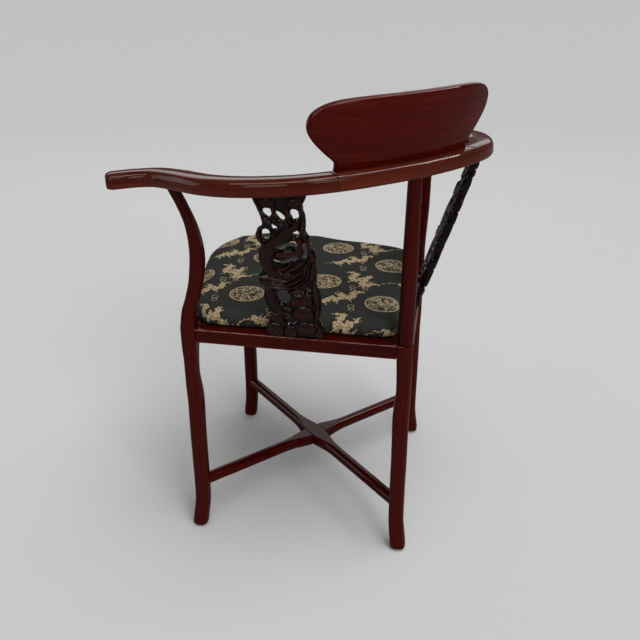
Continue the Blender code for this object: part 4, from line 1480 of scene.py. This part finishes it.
    def board(self, stretch: float) -> BMesh:
        """The sawn and pierced board before it is carved.

        Args:
            stretch: How far the drawing is stretched upwards.

        Returns:
            The board, in its own frame.
        """
        curve = bpy.data.curves.new("splat_board", "CURVE")
        curve.dimensions = "2D"
        curve.fill_mode = "BOTH"
        curve.extrude = self.thickness / 2
        low, high = -self.spare, self.drawn + self.spare
        left = [(self.left_edge[0][0], low), *self.left_edge, (self.left_edge[-1][0], high)]
        right = [(self.right_edge[0][0], high), *self.right_edge, (self.right_edge[-1][0], low)]
        for outline in (left + right, *self.openings):
            spline = curve.splines.new("BEZIER")
            spline.use_cyclic_u = True
            spline.bezier_points.add(len(outline) - 1)
            for knot, (x, y) in zip(spline.bezier_points, outline):
                knot.co = Vector((x, y * stretch, 0)) * MM
                knot.handle_left_type = "AUTO"
                knot.handle_right_type = "AUTO"
        bm = opened(applied(linked("splat_board", curve)))
        bmesh.ops.remove_doubles(bm, verts=bm.verts, dist=SAME)
        bmesh.ops.recalc_face_normals(bm, faces=bm.faces)
        return bm

    def carve(self, mesh: Mesh, stretch: float) -> None:
        """Cut the relief into both faces and note its heights and the dragon's scales.

        Args:
            mesh: The board's even skin, in its own frame.
            stretch: How far the drawing is stretched upwards.
        """
        flat = np.empty(len(mesh.vertices) * 3)
        mesh.vertices.foreach_get("co", flat)
        points = flat.reshape(-1, 3)
        relief = Relief(points[:, 0], points[:, 1], self.ground)
        for ridge in (*self.behind, *self.folds, self.coil):
            relief.ridge(ridge, stretch)
        scales = np.zeros(len(points))
        for body in (self.band, self.dragon):
            along, beside, inside = relief.ridge(body, stretch)
            scales = np.where(inside > 0, self.scale_cells(along, beside, inside), scales)
        for cloud in self.clouds:
            under = relief.heights.copy()
            relief.cloud(cloud, stretch)
            scales = np.where(relief.heights != under, 0.0, scales)
        relief.heights -= self.scale_depth * scales
        relief.heights *= self.rounding(mesh)
        half = self.thickness / 2
        points[:, 2] *= np.clip(relief.heights, self.thinnest, half) / half
        mesh.vertices.foreach_set("co", flat)
        tone = np.clip((relief.heights - relief.floor) / (half - relief.floor), 0.0, 1.0)
        for name, values in (("height", tone), ("scales", scales)):
            mesh.attributes.new(name, "FLOAT", "POINT").data.foreach_set("value", values)

    def rounding(self, mesh: Mesh) -> np.ndarray:
        """Share of the height that stays at each point, lower at the sawn rims.

        Args:
            mesh: The board's even skin.

        Returns:
            The shares.
        """
        sawn = [vert.co.xy.to_3d() for vert in mesh.vertices if abs(vert.normal.z) < 0.5]
        tree = KDTree(len(sawn))
        for index, point in enumerate(sawn):
            tree.insert(point, index)
        tree.balance()
        gaps = np.array([tree.find(vert.co.xy.to_3d())[2] for vert in mesh.vertices])
        short = 1 - np.clip(gaps / self.rim_round, 0.0, 1.0)
        return self.rim_share + (1 - self.rim_share) * np.sqrt(1 - short ** 2)

    def scale_cells(self, along: np.ndarray, beside: np.ndarray, inside: np.ndarray) -> np.ndarray:
        """How deep the cuts between the scales are, from 0 to 1.

        Args:
            along: Length along the body.
            beside: Side of the body's line.
            inside: Share of the way to the ridge line.

        Returns:
            The cuts.
        """
        rows = along / self.scale_pitch
        columns = beside / self.scale_pitch + 0.5 * (np.floor(rows) % 2)
        across = columns - np.floor(columns) - 0.5
        down = rows - np.floor(rows) - 0.5
        out = np.hypot(across, down)
        cuts = np.clip((out - self.scale_r) / self.scale_soft, 0.0, 1.0)
        return cuts * np.clip((inside - self.scale_start) / self.scale_soft, 0.0, 1.0)

    def build(self) -> None:
        """Carve the left splat and mirror it for the right."""
        place, length = self.frame_place()
        stretch = length / (self.drawn * MM)
        carved = modified(self.board(stretch), "REMESH", mode="VOXEL", voxel_size=self.voxel)
        self.carve(carved, stretch)
        for side in Side:
            bm = opened(carved)
            soften(bm, self.smoothing)
            Piece(f"splat_{side.name.lower()}", CARVING, smooth_angle=math.pi).make(bm, side.mirror() @ place)


# Cushion

@dataclass(frozen=True)
class Brocade(Finish):
    """Black satin brocade with gold roundels, dragons and rings, whose places are in millimetres."""

    ground: Colour = (0.0365, 0.0368, 0.0340)
    gold: Colour = (0.580, 0.450, 0.268)
    shadow: Colour = (0.110, 0.074, 0.036)
    repeat: Pair = (0.252, 0.180)
    roundels: Sequence[Pair] = ((147, 131), (27, 53))
    roundel_r: float = 0.033
    border: float = 0.0036
    rings: Sequence[Pair] = ((93, 158), (108, 70), (85, 77), (203, 14))
    ring_pair: Sequence[Pair] = ((-1.15, 1.0), (0.95, 0.8))
    ring_lean: float = 0.2
    ring_r: float = 5.6
    ring_edge: Pair = (0.0011, 0.0006)
    ring_gold: float = 0.8
    lumps: float = 130.0
    lump_middle: float = 0.36
    lump_swell: float = 0.0090
    frays: Noise = Noise(420, 2)
    fray: float = 0.0020
    widen: float = 0.0007
    body_edge: Pair = (0.0004, -0.0003)
    wisp_edge: Pair = (0.0003, -0.0003)
    wisp_ragged: float = 0.2
    ring_ragged: float = 0.12
    blots: Noise = Noise(95, 3, 2.2)
    blot_edge: Pair = (0.485, 0.515)
    border_soft: float = 0.0006
    inside_soft: float = 0.0008
    seam_rise: Pair = (0.11, 0.04)
    seam_stain: float = 0.8
    warp: Noise = Noise(1500, 2, 0.0, (1, 0.12, 1))
    weft: Noise = Noise(1500, 2, 0.0, (0.12, 1, 1))
    clouds: Noise = Noise(14, 2)
    warp_share: float = 0.6
    satin_tones: Pair = (0.75, 1.3)
    weft_rise: Pair = (0.25, 0.75)
    dull_gold: float = 0.72
    gold_raise: float = 0.8
    thread_raise: float = 0.25
    relief: float = 0.00025
    haze: Pair = (0.48, 0.58)
    sheen: Pair = (0.05, 0.35)
    bands: Sequence[Sequence[Knot]] = (
        ((108, 91, 0.8), (98, 91, 3.4), (90, 95, 5.2), (90, 107, 6.2), (83, 118, 6.6), (74, 111, 4.8)),
        ((67, 104, 3.6), (69, 118, 6.4), (61, 128, 7.4), (54, 121, 5.6), (47, 131, 6.6), (41, 139, 5.2),
        (31, 134, 1.6)),
        ((66, 2, 0.8), (76, 2, 3.6), (84, 8, 5.6), (78, 21, 6.2), (81, 35, 7), (91, 34, 6), (96, 23, 3)),
        ((109, 14, 3), (104, 30, 6.4), (101, 45, 8), (107, 57, 7.8), (116, 51, 6.2), (129, 52, 2.2)),
        ((167, 30, 1.8), (176, 33, 6.6), (186, 37, 8), (197, 39, 6.6), (207, 46, 2)))
    wisps: Sequence[Sequence[Knot]] = (
        ((129, 52, 0.8), (140, 43, 0.7), (152, 38, 0.4)), ((169, 30, 0.7), (161, 36, 0.6), (151, 35, 0.4)),
        ((32, 134, 0.8), (22, 142, 0.7), (12, 140, 0.4)), ((108, 18, 1.4), (116, 9, 0.7)),
        ((109, 24, 1.4), (119, 17, 0.7)), ((112, 44, 1.6), (121, 38, 0.8)), ((100, 58, 1.4), (94, 66, 0.9)),
        ((79, 40, 1.6), (72, 48, 1)), ((66, 106, 1.4), (60, 96, 0.7)), ((63, 110, 1.4), (55, 102, 0.7)),
        ((60, 133, 1.6), (66, 144, 0.9)), ((84, 124, 1.6), (90, 132, 1)), ((44, 142, 1.4), (47, 152, 0.8)),
        ((191, 32, 1.4), (198, 23, 0.6)), ((185, 30, 1.4), (190, 20, 0.6)),
        ((193, 40, 1.4), (199, 51, 0.6)))

    def near(self, recipe: Recipe, point: Socket, middle: Sequence[float]) -> Socket:
        """The way to a point from the nearest repeat of a place.

        Args:
            recipe: The material.
            point: The point's socket.
            middle: The place.

        Returns:
            The socket of the way.
        """
        half = (self.repeat[0] / 2, self.repeat[1] / 2, 1.0)
        away = recipe.vector("SUBTRACT", point, (middle[0] * MM, middle[1] * MM, 0.0))
        return recipe.vector("WRAP", away, half, tuple(-value for value in half))

    def distance(self, recipe: Recipe, point: Socket, middle: Sequence[float]) -> Shade:
        """The distance of a point from the nearest repeat of a place."""
        return Shade(recipe, recipe.vector("LENGTH", self.near(recipe, point, middle)))

    def band(self, recipe: Recipe, point: Socket, knots: Sequence[Knot]) -> Shade:
        """A band of the pattern.

        Args:
            recipe: The material.
            point: The point's socket.
            knots: Places along the band, each with its half width.

        Returns:
            The point's distance outside the band.
        """
        first = Vector(knots[0])
        local = self.near(recipe, point, first)
        gaps = []
        curve = Line(knots, 2).points
        for start, end in zip(curve, curve[1:]):
            way = (end - start).xy.to_3d() * MM
            offset = recipe.vector("SUBTRACT", local, tuple((start - first).xy.to_3d() * MM))
            share = Shade(recipe, recipe.vector("DOT_PRODUCT", offset, tuple(way / way.length_squared)))
            share = share.most(0.0).least(1.0)
            along = recipe.vector("SCALE", tuple(way), scale=share)
            gap = Shade(recipe, recipe.vector("LENGTH", recipe.vector("SUBTRACT", offset, along)))
            gaps.append(gap - (share * ((end.z - start.z) * MM) + start.z * MM))
        return least_of(gaps)

    def mix(self, recipe: Recipe) -> Material:
        """Gold where a figure lies, satin elsewhere, with the threads as a fine relief.

        Args:
            recipe: The material being mixed.

        Returns:
            The finished material.
        """
        weave = recipe.attribute("weave")
        lumps = (recipe.cells(weave, self.lumps) - self.lump_middle) * self.lump_swell
        ragged = lumps + (recipe.noise(weave, self.frays) - 0.5) * self.fray - self.widen
        bodies = least_of([self.band(recipe, weave, knots) for knots in self.bands])
        fine = least_of([self.band(recipe, weave, knots) for knots in self.wisps])
        gold = (bodies + ragged).step(*self.body_edge)
        gold = gold.most((fine + ragged * self.wisp_ragged).step(*self.wisp_edge))
        blots = recipe.noise(weave, self.blots).step(*self.blot_edge)
        half, inner = self.border / 2, self.roundel_r - self.border
        for middle in self.roundels:
            out = self.distance(recipe, weave, middle)
            rim = (out - (self.roundel_r - half)).size().step(half, half - self.border_soft)
            inside = out.step(inner, inner - self.inside_soft)
            gold = gold.most(rim).most(inside * blots)
        for x, y in self.rings:
            for shift, share in self.ring_pair:
                middle = (x + self.ring_lean * shift * self.ring_r, y + shift * self.ring_r)
                out = self.distance(recipe, weave, middle)
                ring = (out + ragged * self.ring_ragged - self.ring_r * MM * share).size()
                gold = gold.most(ring.step(*self.ring_edge) * self.ring_gold)
        seams = recipe.cells(weave, self.lumps, "DISTANCE_TO_EDGE").step(*self.seam_rise)
        warp = recipe.noise(weave, self.warp)
        weft = recipe.noise(weave, self.weft)
        sheer = warp * self.warp_share + recipe.noise(weave, self.clouds) * (1 - self.warp_share)
        deep, pale = (tuple(tone * value for value in self.ground) for tone in self.satin_tones)
        dull = tuple(self.dull_gold * value for value in self.gold)
        thread = recipe.mix(weft.step(*self.weft_rise), dull, self.gold)
        thread = recipe.mix(seams * self.seam_stain, thread, self.shadow)
        colour = recipe.mix(gold, recipe.mix(sheer, deep, pale), thread)
        recipe.bump(gold * self.gold_raise + (warp + weft) * self.thread_raise, self.relief)
        return recipe.finish(base_color=colour, roughness=gold.between(*self.haze), specular_ior_level=0.0,
                             sheen_weight=self.sheen[0], sheen_roughness=self.sheen[1])


BROCADE = Brocade("brocade_cloth", "black_brocade")


@dataclass(frozen=True)
class Wave:
    """A run of gathers round the cushion's edge: how close they stand, how they wander, and their share."""

    pitch: float
    swing: float
    wander: float
    shift: float
    share: float

    def at(self, run: float) -> float:
        """The wave's height at a length round the edge."""
        return math.sin(run * self.pitch + self.swing * math.sin(run * self.wander + self.shift)) * self.share


@dataclass
class Cushion:
    """The loose cushion: cloth blown up over its filling, resting flat on the seat, gathered at its edge."""

    height: float = 0.032
    inset: float = -0.0028
    low: float = 0.87
    voxel: float = 0.005
    cap: float = 0.005
    pressure: float = 4.0
    frames: int = 20
    smoothing: float = 0.5
    gather: float = 0.0034
    gather_in: float = 0.45
    gather_least: Pair = (0.10, 0.02)
    waves: Sequence[Wave] = (Wave(430, 2.1, 37, 0.0, 0.6), Wave(290, 1.7, 53, 1.0, 0.4))
    lay: Pair = (0.0017, 0.0179)
    line: Sequence[Pair] = ((0.000, 0.906), (0.095, 0.851), (0.365, 0.590), (0.694, 0.261), (0.874, 0.086),
                            (0.916, -0.030), (0.850, -0.190), (0.640, -0.510), (0.440, -0.812),
                            (0.245, -0.985), (0.000, -1.062))
    edge: Sequence[Pair] = ((0.00, 1.200), (0.00, 0.040), (0.20, -0.055), (0.55, -0.055), (0.82, 0.030),
                            (0.96, 0.220), (1.02, 0.750), (1.06, 2.600), (1.10, 4.500))

    def bottom(self) -> float:
        """Height of the face that rests on the seat."""
        return PLAN.seat_top + PLAN.fit

    def around(self) -> list[Vector]:
        """The outline in plan."""
        half = Line([(PLAN.leg_out * x, PLAN.leg_out * y) for x, y in self.line], 4).points
        return half + [Vector((-point.x, point.y)) for point in reversed(half[1:-1])]

    def middle(self) -> Vector:
        """The middle of the outline."""
        return Vector((0, PLAN.leg_out * (self.line[0][1] + self.line[-1][1]) / 2))

    def blank(self) -> BMesh:
        """The stuffed blank that the cloth starts from, slightly small."""
        bm = bmesh.new()
        middle = self.middle()
        loops = []
        for share, inset in self.edge:
            ring = []
            for point in self.around():
                outward = point - middle
                flat = middle + outward * (1 - (inset * self.height + self.inset) / outward.length)
                ring.append(bm.verts.new((flat.x, flat.y, self.bottom() + share * self.low * self.height)))
            loops.append([bm.edges.new((a, b)) for a, b in zip(ring, ring[1:] + ring[:1])])
        for low, high in zip(loops, loops[1:]):
            bmesh.ops.bridge_loops(bm, edges=low + high)
        bmesh.ops.contextual_create(bm, geom=loops[0])
        bmesh.ops.contextual_create(bm, geom=loops[-1])
        bmesh.ops.recalc_face_normals(bm, faces=bm.faces)
        return bm

    def blow_up(self, mesh: Mesh) -> Mesh:
        """Fill the cloth with air.

        Args:
            mesh: The blank's even skin.

        Returns:
            The swollen skin, its points no further off than the cap.
        """
        start = [vert.co.copy() for vert in mesh.vertices]
        item = linked("cushion_cloth", mesh)
        cloth = item.modifiers.new("cloth", "CLOTH")
        cloth.settings.use_pressure = True
        cloth.settings.uniform_pressure_force = self.pressure
        cloth.settings.effector_weights.gravity = 0.0
        cloth.point_cache.frame_start = 1
        cloth.point_cache.frame_end = self.frames
        scene = bpy.context.scene
        for number in range(1, self.frames + 1):
            scene.frame_set(number)
        swollen = applied(item)
        scene.frame_set(1)
        for vert, before in zip(swollen.vertices, start):
            move = vert.co - before
            if move.length > self.cap:
                move *= self.cap / move.length
            vert.co = before + move
        return swollen

    def pleat(self, bm: BMesh) -> None:
        """Gather the cloth round the lower edge and lay its weave.

        Args:
            bm: The swollen cushion.
        """
        weave = bm.verts.layers.float_vector.new("weave")
        outline = self.around()
        loop = outline + outline[:1]
        runs = [0.0]
        for before, after in zip(loop, loop[1:]):
            runs.append(runs[-1] + (after - before).length)
        middle = self.middle()
        bm.normal_update()
        for vert in bm.verts:
            outward = (vert.co.xy - middle).normalized()
            share = (vert.co.z - self.bottom()) / self.height
            depth = min(max(1.0 - share, 0.0), 1.0)
            flat = Vector((*(vert.co.xy + outward * max(1.0 - share, 0.0) * self.height), 0))
            vert[weave] = (flat.dot(ALONG) + self.lay[0], flat.dot(OUT) + self.lay[1], 0.0)
            lean = 1 - abs(vert.normal.z)
            if depth > 0 and lean > self.gather_least[0] and share > self.gather_least[1]:
                spot = vert.co.xy
                nearest = min(range(len(outline)), key=lambda index: (outline[index] - spot).length_squared)
                way = (loop[nearest + 1] - loop[nearest]).normalized()
                run = runs[nearest] + (spot - loop[nearest]).dot(way)
                swell = sum(wave.at(run) for wave in self.waves) - self.gather_in
                pull = self.gather * depth * lean * swell
                vert.co += outward.to_3d() * pull

    def build(self) -> None:
        """Blow the cushion up, gather its edge and dress it."""
        mesh = modified(self.blank(), "REMESH", mode="VOXEL", voxel_size=self.voxel)
        mesh = self.blow_up(mesh)
        bm = opened(mesh)
        soften(bm, self.smoothing)
        bm = opened(modified(bm, "SUBSURF", levels=1, render_levels=1))
        for vert in bm.verts:
            vert.co.z = max(vert.co.z, self.bottom())
        self.pleat(bm)
        piece = Piece("seat_cushion", BROCADE, Body.CUSHION, math.pi, "cushion_looks").make(bm)


# Studio

@dataclass(frozen=True)
class Lamp:
    """A soft panel of light that shows only in polished surfaces, as a white wall does."""

    name: str
    place: Sequence[float]
    aim: Sequence[float]
    along: Sequence[float]
    size: Pair
    watts: float

    def hang(self) -> None:
        """Hang the lamp at its place, with its width along a direction."""
        data = bpy.data.lights.new(self.name, "AREA")
        data.shape = "RECTANGLE"
        data.size, data.size_y = self.size
        data.energy = self.watts
        back = (Vector(self.place) - Vector(self.aim)).normalized()
        upward = back.cross(Vector(self.along)).normalized()
        item = linked(self.name, data)
        item.matrix_world = place_on(Vector(self.place), upward.cross(back), upward)
        item.visible_diffuse = False


@dataclass(frozen=True)
class Daylight:
    """Even light from one side of the sky, as wide as an angle in degrees."""

    name: str
    come_from: Sequence[float]
    strength: float
    width: float

    def hang(self) -> None:
        """Hang the light."""
        data = bpy.data.lights.new(self.name, "SUN")
        data.energy = self.strength
        data.angle = math.radians(self.width)
        item = linked(self.name, data)
        item.matrix_world = (-Vector(self.come_from)).to_track_quat("-Z", "Y").to_matrix().to_4x4()


@dataclass
class Studio:
    """Plain floor, soft light and the camera."""

    eye: Sequence[float] = (0.7616, 1.1034, 1.0605)
    ahead: Sequence[float] = (-0.51308, -0.73086, -0.45010)
    focal: float = 740.6
    frame_px: float = 640.0
    sensor: float = 36.0
    near_clip: float = 0.01
    floor_half: float = 30.0
    floor_tone: float = 0.64
    floor_shade: float = 0.985
    floor_clouds: Noise = Noise(3.0, 3)
    floor_rough: float = 0.9
    world_light: float = 0.22
    lights: Sequence[Union[Daylight, Lamp]] = (
        Daylight("ceiling_light", (-0.08, 0.36, 1.0), 1.65, 50),
        Daylight("room_light", (0.10, 1.18, 0.72), 0.90, 24),
        Lamp("tube_left", (0.95, 0.55, 2.5), (0, 0, 0.5), ALONG, (2.6, 0.26), 56),
        Lamp("tube_right", (-0.90, 0.50, 2.5), (0, 0, 0.5), (1, 0, 0), (2.4, 0.45), 110),
        Lamp("wall", (-1.75, -2.50, 2.0), (0, 0, 1.0), (0.82, -0.57, 0), (4.2, 2.0), 86),
        Lamp("side_panel", (-2.5, 0.22, 1.1), (0, 0.22, 0.8), (0, 1, 0), (1.05, 1.7), 0.6),
        Lamp("left_panel", (1.9, -2.0, 1.1), (0.28, 0, 0.75), (0.7, 0.7, 0), (2.0, 1.4), 30),
        Lamp("window", (1.9, 1.1, 1.75), (0.2, 0.2, 0.6), ALONG, (1.2, 0.8), 26))

    def camera(self) -> None:
        """The camera at the photograph's view."""
        ahead = Vector(self.ahead).normalized()
        right = ahead.cross(UP).normalized()
        data = bpy.data.cameras.new("camera")
        data.sensor_fit = "HORIZONTAL"
        data.sensor_width = self.sensor
        data.lens = self.focal / self.frame_px * self.sensor
        data.clip_start = self.near_clip
        item = linked("camera", data)
        item.matrix_world = place_on(Vector(self.eye), right, right.cross(ahead))
        bpy.context.scene.camera = item

    def floor(self) -> None:
        """A plain pale floor."""
        bm = bmesh.new()
        bmesh.ops.create_grid(bm, x_segments=8, y_segments=8, size=self.floor_half)
        mesh = closed(bm, "floor")
        recipe = Recipe("pale_floor")
        cloud = recipe.noise(recipe.place(), self.floor_clouds)
        pale = (self.floor_tone,) * 3
        colour = recipe.mix(cloud, pale, tuple(self.floor_shade * value for value in pale))
        mesh.materials.append(recipe.finish(base_color=colour, roughness=self.floor_rough))
        linked("floor", mesh)

    def sky(self) -> None:
        """An even, dim world."""
        world = bpy.data.worlds.new("room")
        bpy.context.scene.world = world
        world.use_nodes = True
        back = world.node_tree.nodes["Background"]
        back.inputs["Color"].default_value = (1, 1, 1, 1)
        back.inputs["Strength"].default_value = self.world_light

    def build(self) -> None:
        """Set the studio up."""
        bpy.context.scene.view_settings.view_transform = "Standard"
        self.camera()
        self.floor()
        self.sky()
        for light in self.lights:
            light.hang()


KEPT_SOLIDS = {"foot_glide": GLIDE, "arm_dowel": DOWEL, "crest_dowel": DOWEL, "seat_panel": BOARD,
               "seat_batten": BOARD, "corner_block": BOARD}


def dress_solids() -> None:
    """Give the solids that stay their finishes."""
    for name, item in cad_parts.items():
        for start, finish in KEPT_SOLIDS.items():
            if name.startswith(start):
                item.data.materials.clear()
                item.data.materials.append(finish.material())


def main() -> None:
    """Build the chair's looks, piece by piece."""
    logging.basicConfig(level=logging.INFO, format="%(name)s %(message)s")
    Studio().build()
    dress_solids()
    for assembly in (Legs(), BackPost(), SeatFrame(), Stretcher(), ArmRail(), Crest(), Splats(), Cushion()):
        assembly.build()


if __name__ == "__main__":
    main()
